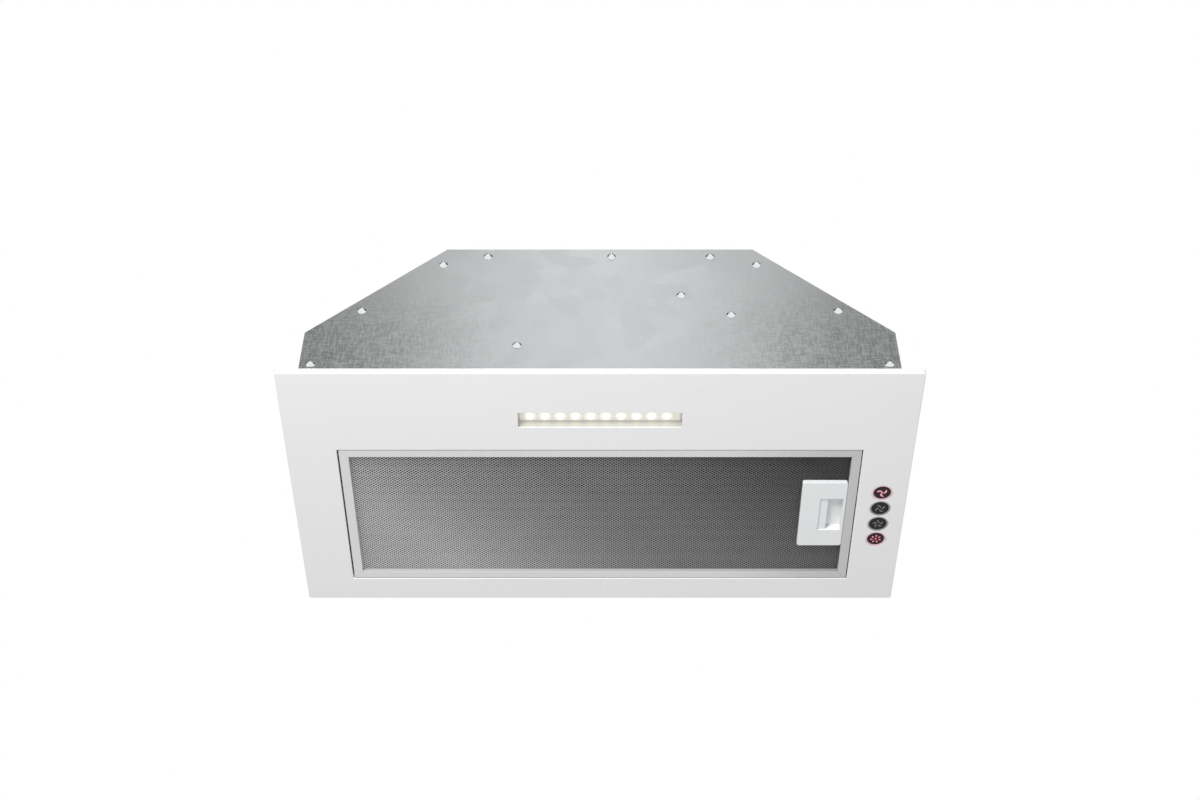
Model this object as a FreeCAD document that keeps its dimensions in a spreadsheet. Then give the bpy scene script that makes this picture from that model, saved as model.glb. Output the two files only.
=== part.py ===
import FreeCAD, Part
import math
import os
import Sketcher

Vector = FreeCAD.Vector
Rotation = FreeCAD.Rotation
Placement = FreeCAD.Placement

# Built-in range hood insert.
# Frame: millimetres, +Z up, the front of the hood looks along -Y and +X is to its right.
# The origin is the middle of the face panel's underside, so that underside is z = 0.

SIZES = {
    # white face panel, a shallow folded tray with its rim turned up
    "panel_width": 598.0,
    "panel_depth": 310.0,
    "panel_lip": 6.6,
    "panel_sheet": 1.0,
    "panel_corner": 2.0,
    "panel_bend": 0.9,
    "return_front": 20.0,
    "return_side": 32.0,
    "return_rear": 26.0,
    # filter opening in the panel, with its edges turned up
    "opening_width": 501.6,
    "opening_depth": 182.1,
    "opening_setback": 98.0,
    "opening_flange": 12.0,
    "opening_bend": 0.6,
    # galvanised body
    "body_sheet": 0.8,
    "body_width": 558.0,
    "body_top": 194.0,
    "body_chamfer": 127.3,
    "front_setback": 8.0,
    "rear_setback": 14.0,
    "foot_flange": 11.0,
    "front_foot_width": 500.0,
    "rivet_flange": 20.0,
    # domed rivets round the front and rear plates
    "rivet_radius": 4.5,
    "rivet_height": 4.2,
    "rivet_shank": 2.0,
    "rivet_length": 5.0,
    "hole_play": 0.1,
    "cut_margin": 1.0,
    "rivet_low_inset": 10.8,
    "rivet_low_rise": 14.7,
    "rivet_slope_inset": 19.2,
    "rivet_slope_rise": 31.9,
    "rivet_high_inset": 22.3,
    "rivet_high_drop": 24.8,
    "rivet_top_drop": 12.0,
    "rivet_top_left": -110.9,
    "rivet_top_middle": 11.4,
    "rivet_top_right": 109.0,
    # three screws in the field of the front plate: two in the electronics box, one in the LED driver
    "upper_screw_inset": 13.8,
    "upper_screw_drop": 14.1,
    "right_screw_inset": 14.9,
    "right_screw_rise": 14.6,
    "driver_screw_inset": 34.2,
    "driver_screw_rise": 14.2,
    # rivets that hold the body's foot flanges on the panel
    "foot_rivet_radius": 3.0,
    "foot_rivet_height": 1.2,
    "foot_rivet_shank": 1.6,
    "foot_rivet_tail": 0.8,
    "foot_rivet_pitch": 140.0,
    "foot_rivet_inset": 5.0,
    "side_rivet_inset": 36.2,
    "side_rivet_front_gap": 32.6,
    "side_rivet_rear_gap": 28.35,
    # holes in the body's sides for the screws into the cabinet
    "cabinet_hole": 2.5,
    "cabinet_hole_pitch": 200.0,
    "cabinet_hole_z": 40.0,
    # outlet collar with its back-draught flaps
    "collar_radius": 59.0,
    "collar_wall": 2.5,
    "collar_height": 30.0,
    "collar_flange_reach": 13.0,
    "collar_flange_sheet": 2.0,
    "collar_screw_reach": 7.0,
    "collar_rib_width": 3.0,
    "collar_rib_height": 1.5,
    "outlet_hole_inset": 6.0,
    "flap_pin_height": 11.0,
    "flap_pin_radius": 1.5,
    "flap_pin_play": 0.08,
    "flap_edge_gap": 1.5,
    "flap_sheet": 1.2,
    "flap_barrel": 3.0,
    "flap_barrel_gap": 2.0,
    "flap_end_gap": 2.5,
    "flap_root": 3.4,
    "flap_rest": 0.3,
    # small pan-head screws
    "screw_head": 3.4,
    "screw_head_height": 1.8,
    "screw_shank": 1.7,
    "screw_length": 7.0,
    # centrifugal blower, its axis along X
    "scroll_setback": 40.2,
    "scroll_foot": 11.4,
    "wheel_radius": 58.0,
    "wheel_side_gap": 7.0,
    "wheel_ring": 2.0,
    "wheel_disc": 2.0,
    "blade_depth": 12.0,
    "blade_sheet": 1.2,
    "blade_lean": 4.0,
    "blade_inset": 0.3,
    "blade_count": 30.0,
    "hub_radius": 9.0,
    "hub_length": 16.0,
    "scroll_gap": 8.0,
    "scroll_growth": 9.0,
    "scroll_sheet": 1.2,
    "scroll_side_room": 3.0,
    "throat_room": 0.5,
    "scroll_side": 1.5,
    "scroll_rim": 5.0,
    "scroll_inlet": 50.0,
    "scroll_tab": 14.0,
    "scroll_tab_width": 18.0,
    "scroll_screw_gap": 1.2,
    # motor inside the wheel's left half
    "motor_radius": 30.0,
    "motor_hub_gap": 5.5,
    "motor_round": 2.0,
    "motor_screw_circle": 21.0,
    "motor_screw_depth": 5.0,
    "shaft_radius": 4.0,
    "shaft_play": 0.05,
    "shaft_stub": 3.0,
    "shaft_end": 8.0,
    "bearing_radius": 9.0,
    "bearing_length": 7.0,
    "bracket_sheet": 2.0,
    "bracket_arm": 14.0,
    "bracket_reach": 61.0,
    "bracket_screw_circle": 56.0,
    "bracket_ring": 34.0,
    "bracket_hole": 14.0,
    # electronics box behind the front plate
    "box_gap": 1.0,
    "box_width": 75.5,
    "box_bottom": 78.0,
    "box_height": 58.0,
    "box_depth": 42.0,
    "box_wall": 1.6,
    "boss_radius": 4.5,
    "box_margin": 4.0,
    "board_sheet": 1.6,
    "capacitor_radius": 12.0,
    "capacitor_length": 40.0,
    "block_width": 30.0,
    "block_depth": 12.0,
    "block_height": 14.0,
    "block_pitch": 9.0,
    # LED driver behind the front plate
    "driver_left": -112.0,
    "driver_width": 52.0,
    "driver_bottom": 34.0,
    "driver_height": 28.0,
    "driver_depth": 22.0,
    # gland for the mains cord, in the top
    "gland_x": 120.0,
    "gland_y": -105.0,
    "gland_radius": 8.0,
    "gland_bore": 3.8,
    "gland_hex": 10.0,
    "gland_height": 14.0,
    "gland_thread": 9.0,
    "nut_height": 4.0,
    # LED slot and its lamp
    "slot_width": 154.0,
    "slot_depth": 18.9,
    "slot_setback": 49.4,
    "trough_sheet": 0.8,
    "trough_step": 0.4,
    "trough_foot": 3.0,
    "trough_height": 8.6,
    "lamp_board_sheet": 1.0,
    "lamp_board_depth": 12.0,
    "lamp_board_y": 60.9,
    "lamp_board_play": 1.5,
    "led_size": 4.6,
    "led_height": 0.8,
    "led_pitch": 14.3,
    "led_count": 10.0,
    "led_shift": -1.6,
    # push buttons
    "button_x": 274.6,
    "button_first": 156.0,
    "button_pitch": 21.75,
    "button_radius": 8.2,
    "button_recess": 0.25,
    "button_face": 1.85,
    "button_collar": 9.3,
    "button_collar_sheet": 0.8,
    "button_stem": 2.2,
    "button_stem_length": 1.6,
    "ring_radius": 10.4,
    "ring_play": 0.3,
    "ring_fit": 0.1,
    "ring_recess": 0.15,
    "ring_flange": 10.7,
    "ring_flange_sheet": 0.8,
    "housing_half_width": 13.0,
    "housing_end": 13.4,
    "housing_height": 13.0,
    "housing_wall": 1.2,
    "housing_notch_play": 0.8,
    "control_board_z": 8.5,
    "control_board_play": 0.3,
    "switch_size": 6.0,
    "switch_height": 2.6,
    "switch_plunger": 1.7,
    "switch_plunger_height": 0.4,
    "switch_plunger_root": 0.5,
    # grease filter
    "filter_gap_left": 1.45,
    "filter_gap_right": 0.95,
    "filter_gap_front": 0.9,
    "filter_gap_rear": 1.0,
    "filter_face": 0.6,
    "filter_height": 8.0,
    "frame_width": 9.0,
    "frame_sheet": 1.0,
    "frame_hem": 4.0,
    "frame_round": 0.4,
    "mitre_gap": 0.2,
    "mesh_sheet": 0.8,
    "mesh_edge": 1.3,
    "core_pad_gap": 0.4,
    "tab_length": 5.5,
    "tab_width": 14.0,
    "tab_sheet": 1.2,
    "tab_pitch": 110.0,
    "tab_lift": 0.6,
    "tab_play": 1.5,
    "tab_rest": 0.15,
    # latch on the filter's right end
    "latch_width": 44.0,
    "latch_length": 88.6,
    "latch_setback": 142.7,
    "latch_margin": 0.25,
    "latch_sheet": 1.2,
    "latch_rim": 1.5,
    "latch_corner": 2.5,
    "latch_round": 0.5,
    "pocket_width": 22.6,
    "pocket_length": 44.0,
    "pocket_offset": 2.9,
    "pocket_setback": 22.1,
    "pocket_depth": 7.4,
    "grip_width": 8.0,
    "slider_sheet": 2.0,
    "slider_play": 0.2,
    "slider_back": 5.0,
    "slider_arm": 5.0,
    "slider_arm_gap": 2.3,
    "slider_root": 6.0,
    "slider_nose_gap": 0.4,
    "slider_slot_play": 0.4,
    "spring_sheet": 0.4,
    "spring_chord": 40.0,
    "spring_height": 1.6,
    # internal leads
    "lead_play": 0.1,
    "motor_lead_radius": 1.6,
    "motor_lead_offset": 11.2,
    "motor_lead_reach": 32.0,
    "lamp_lead_radius": 1.2,
    "control_lead_radius": 1.8,
    "lead_entry": 10.0,
    "lead_entry_height": 14.0,
    "lead_entry_depth": 2.4,
    "control_lead_inset": 7.2,
    "control_lead_rise": 53.0,
    "control_lead_bend_x": 241.0,
    "control_lead_front_x": 226.0,
}

doc = FreeCAD.newDocument("range_hood_insert")
sheet = doc.addObject("Spreadsheet::Sheet", "Sizes")
for row, (alias, number) in enumerate(SIZES.items(), start=1):
    sheet.set("A%d" % row, alias)
    sheet.set("B%d" % row, repr(number))
    sheet.setAlias("B%d" % row, alias)
doc.recompute()

parts = []


class Size:
    """A length with both its value now and the formula that the document keeps."""

    def __init__(self, value, formula):
        self.value = value
        self.formula = formula

    def __add__(self, other):
        return join(self, "+", other, self.value + number_of(other))

    def __radd__(self, other):
        return join(other, "+", self, number_of(other) + self.value)

    def __sub__(self, other):
        return join(self, "-", other, self.value - number_of(other))

    def __rsub__(self, other):
        return join(other, "-", self, number_of(other) - self.value)

    def __mul__(self, other):
        return join(self, "*", other, self.value * number_of(other))

    def __rmul__(self, other):
        return join(other, "*", self, number_of(other) * self.value)

    def __truediv__(self, other):
        return join(self, "/", other, self.value / number_of(other))

    def __neg__(self):
        return 0 - self


def number_of(item):
    return item.value if isinstance(item, Size) else float(item)


def formula_of(item):
    return item.formula if isinstance(item, Size) else repr(float(item))


def join(left, sign, right, value):
    return Size(value, "(%s %s %s)" % (formula_of(left), sign, formula_of(right)))


def size(alias):
    return Size(SIZES[alias], "Sizes." + alias)


def bind(item, path, wanted):
    item.setExpression(path, formula_of(wanted))


# Sketches, pads and pockets. A pad or pocket is given by the two heights that it runs between,
# along the axis square to its plane.

PLANES = {"Z": "XY_Plane", "Y": "XZ_Plane", "X": "YZ_Plane"}


def new_body(label):
    body = doc.addObject("PartDesign::Body", label)
    body.Label = label
    parts.append(body)
    return body


def origin_item(body, role):
    return next(item for item in body.Origin.OriginFeatures if item.Role == role)


def new_sketch(body, axis, height):
    sketch = body.newObject("Sketcher::SketchObject", body.Label + "_outline")
    sketch.AttachmentSupport = (origin_item(body, PLANES[axis]), [""])
    sketch.MapMode = "FlatFace"
    bind(sketch, "AttachmentOffset.Base.z", -height if axis == "Y" else height)
    return sketch


def fix_point(sketch, curve, end, place):
    for kind, wanted in zip(("DistanceX", "DistanceY"), place):
        rule = Sketcher.Constraint(kind, -1, 1, curve, end, number_of(wanted))
        bind(sketch, "Constraints[%d]" % sketch.addConstraint(rule), wanted)


def fix_radius(sketch, curve, radius):
    rule = Sketcher.Constraint("Radius", curve, number_of(radius))
    bind(sketch, "Constraints[%d]" % sketch.addConstraint(rule), radius)


def flat(place):
    return Vector(number_of(place[0]), number_of(place[1]), 0)


def outline(*corners, rounds=None):
    """A closed outline; rounds gives the radius and middle point of each edge that is an arc."""

    def draw(sketch):
        first = sketch.GeometryCount
        for index, corner in enumerate(corners):
            start, end = flat(corner), flat(corners[(index + 1) % len(corners)])
            if rounds and index in rounds:
                middle = flat(rounds[index][1])
                sketch.addGeometry(Part.Arc(start, middle, end))
            else:
                sketch.addGeometry(Part.LineSegment(start, end))
        for index, corner in enumerate(corners):
            turn = (index + 1) % len(corners)
            curve, after, meeting = first + index, first + turn, flat(corners[turn])
            end_here, start_there = end_at(sketch, curve, meeting), end_at(sketch, after, meeting)
            sketch.addConstraint(Sketcher.Constraint("Coincident", curve, end_here, after, start_there))
        for index, corner in enumerate(corners):
            curve = first + index
            fix_point(sketch, curve, end_at(sketch, curve, flat(corner)), corner)
            if rounds and index in rounds:
                fix_radius(sketch, curve, rounds[index][0])

    return draw


def end_at(sketch, curve, place):
    start_gap = sketch.getPoint(curve, 1).distanceToPoint(place)
    end_gap = sketch.getPoint(curve, 2).distanceToPoint(place)
    return 1 if start_gap < end_gap else 2


def rectangle(left, low, right, high):
    return outline((left, low), (right, low), (right, high), (left, high))


def circles(radius, *centres):
    def draw(sketch):
        for centre in centres:
            curve = sketch.addGeometry(Part.Circle(flat(centre), Vector(0, 0, 1), number_of(radius)))
            fix_point(sketch, curve, 3, centre)
            fix_radius(sketch, curve, radius)

    return draw


def pad(body, axis, low, high, *drawings):
    sketch = new_sketch(body, axis, high if axis == "Y" else low)
    for draw in drawings:
        draw(sketch)
    feature = body.newObject("PartDesign::Pad", body.Label + "_pad")
    feature.Profile = sketch
    bind(feature, "Length", high - low)
    return feature


def pocket(body, axis, low, high, *drawings):
    sketch = new_sketch(body, axis, low if axis == "Y" else high)
    for draw in drawings:
        draw(sketch)
    doc.recompute()
    before = body.Shape.Volume
    feature = body.newObject("PartDesign::Pocket", body.Label + "_pocket")
    feature.Profile = sketch
    bind(feature, "Length", high - low)
    doc.recompute()
    if body.Shape.Volume >= before - 1e-6:
        raise RuntimeError("%s: a pocket cuts nothing" % body.Label)
    return feature


def revolve(body, axis, drawing):
    sketch = new_sketch(body, "Y" if axis == "Z" else "Z", size("panel_sheet") * 0)
    drawing(sketch)
    feature = body.newObject("PartDesign::Revolution", body.Label + "_turned")
    feature.Profile = sketch
    feature.ReferenceAxis = (sketch, ["V_Axis" if axis == "Z" else "H_Axis"])
    feature.Angle = 360.0
    return feature


def fillet(body, radius, keep):
    doc.recompute()
    base = body.Tip
    names = ["Edge%d" % (index + 1) for index, edge in enumerate(base.Shape.Edges) if keep(edge)]
    if not names:
        raise RuntimeError("%s: no edge to round" % body.Label)
    feature = body.newObject("PartDesign::Fillet", body.Label + "_round")
    feature.Base = (base, names)
    bind(feature, "Radius", radius)
    return feature


def spans(edge, axis, low, high):
    """True when the whole edge lies between two heights along an axis."""
    box = edge.BoundBox
    least, most = {"X": (box.XMin, box.XMax), "Y": (box.YMin, box.YMax), "Z": (box.ZMin, box.ZMax)}[axis]
    return number_of(low) - 0.01 <= least and most <= number_of(high) + 0.01


def at(edge, axis, height):
    return spans(edge, axis, height, height)


def place(item, x=0, y=0, z=0, turn=None):
    item.Placement = Placement(Vector(0, 0, 0), turn or Rotation())
    for path, wanted in zip(("x", "y", "z"), (x, y, z)):
        bind(item, "Placement.Base." + path, wanted)


def rod(radius, length, x, y, z, turn=None):
    item = doc.addObject("Part::Cylinder", "rod")
    bind(item, "Radius", radius)
    bind(item, "Height", length)
    place(item, x, y, z, turn)
    return item


def dome(radius, height, x, y, z, turn=None):
    """A round head of a given radius and height, its flat face at the given place."""
    full = (radius * radius + height * height) / (height * 2)
    item = doc.addObject("Part::Sphere", "head")
    bind(item, "Radius", full)
    rise = number_of(full - height)
    item.setExpression("Angle1", "asin((%s) / (%s))" % (formula_of(full - height), formula_of(full)))
    item.Angle1 = math.degrees(math.asin(rise / number_of(full)))
    item.Angle2 = 90
    turned = (turn or Rotation()).multVec(Vector(0, 0, 1))
    sink = full - height
    place(item, x - sink * turned.x, y - sink * turned.y, z - sink * turned.z, turn)
    return item


def group(label, pieces):
    item = doc.addObject("Part::MultiFuse", label)
    item.Label = label
    item.Shapes = pieces
    parts.append(item)
    return item


def studs(label, heads):
    """Domed fasteners: each is a head, a shank and the way that the head looks."""
    pieces = []
    for radius, height, shank, length, x, y, z, turn in heads:
        back = (turn or Rotation()).multVec(Vector(0, 0, -1))
        stem = rod(shank, length, x, y, z, Rotation(Vector(0, 0, 1), back))
        head = dome(radius, height, x, y, z, turn)
        piece = doc.addObject("Part::Fuse", "stud")
        piece.Base = head
        piece.Tool = stem
        pieces.append(piece)
    return group(label, pieces)


UP = Rotation()
TO_FRONT = Rotation(Vector(1, 0, 0), 90)
TO_REAR = Rotation(Vector(1, 0, 0), -90)
TO_LEFT = Rotation(Vector(0, 1, 0), -90)
TO_RIGHT = Rotation(Vector(0, 1, 0), 90)
NONE = size("panel_sheet") * 0
QUARTER_MIDDLE = math.sqrt(0.5)  # across and along of a point half way round a quarter circle
COLLAR_SCREW_ANGLE = 30  # of the collar's screws, from the X axis
ARM_ANGLE = 90  # the first of three arms points up
MOTOR_SCREW_ANGLE = 30  # the motor's screws lie between the arms

# Shared places.

panel_x = size("panel_width") / 2
panel_front = -size("panel_depth") / 2
panel_rear = size("panel_depth") / 2
lip = size("panel_lip")
skin = size("panel_sheet")

opening_x = size("opening_width") / 2
opening_front = panel_front + size("opening_setback")
opening_rear = opening_front + size("opening_depth")

steel = size("body_sheet")
screw_hole = size("screw_shank") + size("hole_play")
rivet_hole = size("rivet_shank") + size("hole_play")
foot_hole = size("foot_rivet_shank") + size("hole_play")
screw_depth = size("rivet_length") - steel + size("hole_play")
body_x = size("body_width") / 2
body_front = panel_front + size("front_setback")
body_rear = panel_rear - size("rear_setback")
top = size("body_top")
shoulder = top - size("body_chamfer")
top_x = body_x - size("body_chamfer")
inner_front = body_front + steel
inner_rear = body_rear - steel
bend_share = math.tan(math.radians(22.5))

buttons_y = [panel_front + size("button_first") + size("button_pitch") * index for index in range(4)]
button_names = ["speed_low", "speed_middle", "speed_high", "lamp"]
control_left = size("button_x") - size("housing_half_width")
control_right = size("button_x") + size("housing_half_width")
control_front = buttons_y[0] - size("housing_end")
control_rear = buttons_y[3] + size("housing_end")
control_top = skin + size("housing_height")
notch_play = size("housing_notch_play")

filter_left = size("filter_gap_left") - opening_x
filter_right = opening_x - size("filter_gap_right")
filter_front = opening_front + size("filter_gap_front")
filter_rear = opening_rear - size("filter_gap_rear")
filter_middle = (filter_front + filter_rear) / 2
filter_face = size("filter_face")
filter_top = filter_face + size("filter_height")
mesh_face = filter_face + size("frame_hem")
mesh_top = filter_top - size("frame_sheet")
tabs_y = [filter_middle - size("tab_pitch") / 2, filter_middle + size("tab_pitch") / 2]
tab_low = filter_face + size("tab_lift")

latch_right = filter_right - size("frame_width") - size("latch_margin")
latch_left = latch_right - size("latch_width")
latch_front = panel_front + size("latch_setback")
latch_rear = latch_front + size("latch_length")
pocket_right = latch_right - size("pocket_offset")
pocket_left = pocket_right - size("pocket_width")
pocket_front = latch_front + size("pocket_setback")
pocket_rear = pocket_front + size("pocket_length")
pocket_roof = filter_face + size("pocket_depth")
pocket_wall = size("latch_sheet")
grip_right = pocket_left + size("grip_width")
slider_low = filter_face + size("latch_sheet") + size("slider_play")
slider_high = slider_low + size("slider_sheet")
arm_gap = size("slider_arm_gap")
arms_y = [
    (pocket_front - arm_gap - size("slider_arm"), pocket_front - arm_gap),
    (pocket_rear + arm_gap, pocket_rear + arm_gap + size("slider_arm")),
]
slider_left = pocket_left - size("slider_root")
slot_play = size("slider_slot_play")

slot_x = size("slot_width") / 2
slot_front = panel_front + size("slot_setback")
slot_rear = slot_front + size("slot_depth")

collar_outer = size("collar_radius")
collar_inner = collar_outer - size("collar_wall")
collar_screw_circle = collar_outer + size("collar_screw_reach")
barrel_step = (collar_inner - size("flap_end_gap")) / 3

scroll_start = size("wheel_radius") + size("scroll_gap")
scroll_rear = scroll_start + size("scroll_growth") * 3
scroll_width = (collar_outer + size("scroll_side_room")) * 2
wheel_width = scroll_width - size("wheel_side_gap") * 2
outlet_hole = collar_outer - size("outlet_hole_inset")
throat_half = outlet_hole + size("throat_room")
scroll_lead = throat_half * 2 - scroll_rear
wheel_y = inner_front + size("scroll_setback") + size("scroll_rim") + scroll_start
outlet_y = wheel_y + scroll_rear - throat_half
wheel_z = lip + size("scroll_foot") + scroll_start + size("scroll_growth") + size("scroll_rim")
motor_start = -(scroll_width / 2 + size("scroll_side"))
box_left = size("box_gap") - motor_start
box_right = box_left + size("box_width")
box_low = size("box_bottom")
box_high = box_low + size("box_height")
driver_left = size("driver_left")
driver_right = driver_left + size("driver_width")
driver_low = size("driver_bottom")
driver_high = driver_low + size("driver_height")
entry_y = inner_front + size("box_depth") - size("lead_entry")
entry_z = box_low + size("lead_entry_height")
top_inner = top - steel


def body_half_outline(inset):
    """The right half of the body's outline seen from the front, set in by one distance."""
    corner = inset * bend_share
    return [
        (body_x - inset, lip),
        (body_x - inset, shoulder - corner),
        (top_x - corner, top - inset),
    ]


def mirrored(points):
    return [(-x, z) for x, z in reversed(points)]


def band(inset):
    """The folded band of the body between its outside and a line set in from it."""
    right_outside, right_inside = body_half_outline(NONE), body_half_outline(inset)
    outside = right_outside + mirrored(right_outside)
    inside = right_inside + mirrored(right_inside)
    return outline(*(outside + list(reversed(inside))))


def whole_face():
    half = body_half_outline(NONE)
    return outline(*(half + mirrored(half)))


def rivet_places():
    """Two low on the sides, four along the slopes and three along the top."""
    slope_low = shoulder + size("rivet_slope_rise")
    slope_high = top - size("rivet_high_drop")
    right = [
        (body_x - size("rivet_low_inset"), lip + size("rivet_low_rise")),
        (slope_x(slope_low) - size("rivet_slope_inset"), slope_low),
        (slope_x(slope_high) - size("rivet_high_inset"), slope_high),
    ]
    rows = ("rivet_top_left", "rivet_top_middle", "rivet_top_right")
    upper = [(size(alias), top - size("rivet_top_drop")) for alias in rows]
    return right + mirrored(right) + upper


def slope_x(z):
    """Where the slope's outer face is at a height; the slope stands at 45 degrees."""
    return body_x - (z - shoulder)


def field_places():
    return [
        (box_left + size("upper_screw_inset"), box_high - size("upper_screw_drop")),
        (box_right - size("right_screw_inset"), box_low + size("right_screw_rise")),
        (driver_left + size("driver_screw_inset"), driver_low + size("driver_screw_rise")),
    ]


def foot_places(y):
    return [(size("foot_rivet_pitch") * step, y) for step in (-1.5, -0.5, 0.5, 1.5)]


def front_foot_places():
    return foot_places(inner_front + size("foot_rivet_inset"))


def rear_foot_places():
    return foot_places(inner_rear - size("foot_rivet_inset"))


def side_foot_places():
    x = body_x - steel - size("foot_rivet_inset")
    rows = (
        inner_front + size("side_rivet_inset"), control_front - size("side_rivet_front_gap"),
        control_rear + size("side_rivet_rear_gap"),
    )
    return [(x * side, y) for side in (-1, 1) for y in rows]


def all_foot_places():
    return front_foot_places() + rear_foot_places() + side_foot_places()


def cabinet_places():
    half = size("cabinet_hole_pitch") / 2
    return [(-half, size("cabinet_hole_z")), (half, size("cabinet_hole_z"))]


def collar_spots():
    """Places of the collar's screws about its own axis."""
    angle = math.radians(COLLAR_SCREW_ANGLE)
    across, along = collar_screw_circle * math.cos(angle), collar_screw_circle * math.sin(angle)
    return [(across * side, along * end) for side in (-1, 1) for end in (-1, 1)]


def collar_screw_places():
    return [(x, y + outlet_y) for x, y in collar_spots()]


def scroll_spots():
    """Distances across and along from the outlet's axis to the tabs' screws, clear of the collar."""
    across = size("scroll_tab") / 2 - motor_start
    clear = collar_outer + size("collar_flange_reach") + size("screw_head") + size("scroll_screw_gap")
    square = clear * clear - across * across
    least = size("scroll_tab_width") * size("scroll_tab_width") / 2
    along = math.sqrt(max(square.value, least.value))
    return across, Size(along, "sqrt(max(%s; %s))" % (square.formula, least.formula))


def scroll_screw_places():
    across, along = scroll_spots()
    return [(across * side, outlet_y + along * end) for side in (-1, 1) for end in (-1, 1)]


# Face panel and body.


def make_face_panel():
    body = new_body("face_panel")
    outer = rectangle(-panel_x, panel_front, panel_x, panel_rear)
    pad(body, "Z", NONE, skin, outer)
    inner = rectangle(-(panel_x - skin), panel_front + skin, panel_x - skin, panel_rear - skin)
    pad(body, "Z", skin, lip - skin, outer, inner)
    side = panel_x - size("return_side")
    inner = rectangle(-side, panel_front + size("return_front"), side, panel_rear - size("return_rear"))
    pad(body, "Z", lip - skin, lip, outer, inner)
    hole = rectangle(-opening_x, opening_front, opening_x, opening_rear)
    pocket(body, "Z", NONE, skin, hole)
    collar = rectangle(-(opening_x + skin), opening_front - skin, opening_x + skin, opening_rear + skin)
    pad(body, "Z", skin, size("opening_flange"), collar, hole)
    pocket(body, "Z", NONE, skin, rectangle(-slot_x, slot_front, slot_x, slot_rear))
    ring_hole = size("ring_radius") + size("ring_fit")
    pocket(body, "Z", NONE, skin, circles(ring_hole, *[(size("button_x"), y) for y in buttons_y]))
    half_tab = size("tab_width") / 2 + size("tab_play")
    notch_low = tab_low - size("tab_rest")
    hinge_slots = [
        rectangle(y - half_tab, notch_low, y + half_tab, size("opening_flange")) for y in tabs_y
    ]
    pocket(body, "X", -(opening_x + skin), -opening_x, *hinge_slots)
    strike_slots = [
        rectangle(near - slot_play, slider_low - slot_play, far + slot_play, slider_high + slot_play)
        for near, far in arms_y
    ]
    pocket(body, "X", opening_x, opening_x + skin, *strike_slots)
    pocket(
        body, "Z", lip - skin, lip,
        rectangle(
            panel_x - size("return_side") - size("cut_margin"), control_front - notch_play,
            control_right + notch_play, control_rear + notch_play,
        ),
    )
    pocket(body, "Z", lip - skin, lip, circles(foot_hole, *all_foot_places()))
    fillet(body, size("panel_corner"), is_panel_corner)
    fillet(body, size("panel_bend"), lambda edge: at(edge, "Z", NONE) and on_panel_edge(edge))
    fillet(body, size("opening_bend"), lambda edge: at(edge, "Z", NONE) and on_opening_edge(edge))


def is_panel_corner(edge):
    box = edge.BoundBox
    upright = abs(box.ZLength - number_of(lip)) < 0.01
    return upright and abs(abs(box.XMin) - number_of(panel_x)) < 0.01


def on_panel_edge(edge):
    box = edge.BoundBox
    wide = max(abs(box.XMin), abs(box.XMax)) > number_of(panel_x - size("panel_corner")) - 0.01
    deep = max(abs(box.YMin), abs(box.YMax)) > number_of(panel_rear - size("panel_corner")) - 0.01
    return wide or deep


def on_opening_edge(edge):
    box = edge.BoundBox
    along_x = spans(edge, "X", -opening_x, opening_x) and (
        at(edge, "Y", opening_front) or at(edge, "Y", opening_rear)
    )
    along_y = at(edge, "X", opening_x) or at(edge, "X", -opening_x)
    return box.DiagonalLength > 1 and (along_x or along_y)


def plate(label, outer_face, inner_face, foot_low, foot_high, holes):
    body = new_body(label)
    pad(body, "Y", outer_face, inner_face, whole_face())
    half_foot = size("front_foot_width") / 2
    pad(body, "Y", foot_low, foot_high, rectangle(-half_foot, lip, half_foot, lip + steel))
    pocket(body, "Y", outer_face, inner_face, circles(rivet_hole, *holes))
    return body


def make_front_plate():
    foot_end = inner_front + size("foot_flange")
    body = plate(
        "front_plate", body_front, inner_front, inner_front, foot_end, rivet_places() + field_places()
    )
    drill_foot(body, front_foot_places())


def make_rear_plate():
    foot_end = inner_rear - size("foot_flange")
    body = plate("rear_plate", inner_rear, body_rear, foot_end, inner_rear, rivet_places())
    drill_foot(body, rear_foot_places())


def drill_foot(body, places):
    pocket(body, "Z", lip, lip + steel, circles(foot_hole, *places))


def make_body_wrap():
    body = new_body("body_wrap")
    pad(body, "Y", inner_front, inner_rear, band(steel))
    pad(body, "Y", inner_front, inner_front + steel, band(size("rivet_flange")))
    pad(body, "Y", inner_rear - steel, inner_rear, band(size("rivet_flange")))
    foot_x = body_x - steel - size("foot_flange")
    feet_from = inner_front + steel
    feet_to = inner_rear - steel
    pad(
        body, "Z", lip, lip + steel,
        rectangle(-(body_x - steel), feet_from, -foot_x, feet_to),
        rectangle(foot_x, feet_from, body_x - steel, feet_to),
    )
    pocket(
        body, "Z", lip, control_top + notch_play,
        rectangle(
            foot_x - size("cut_margin"), control_front - notch_play,
            body_x + size("cut_margin"), control_rear + notch_play,
        ),
    )
    pocket(body, "Y", inner_front, inner_front + steel, circles(rivet_hole, *rivet_places()))
    pocket(body, "Y", inner_rear - steel, inner_rear, circles(rivet_hole, *rivet_places()))
    drill_foot(body, side_foot_places())
    for wall_low, wall_high in ((-body_x, -(body_x - steel)), (body_x - steel, body_x)):
        pocket(body, "X", wall_low, wall_high, circles(size("cabinet_hole"), *cabinet_places()))
    pocket(
        body, "Z", top - steel, top,
        circles(outlet_hole, (NONE, outlet_y)),
        circles(screw_hole, *(collar_screw_places() + scroll_screw_places())),
        circles(size("gland_radius"), (size("gland_x"), size("gland_y"))),
    )


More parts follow.
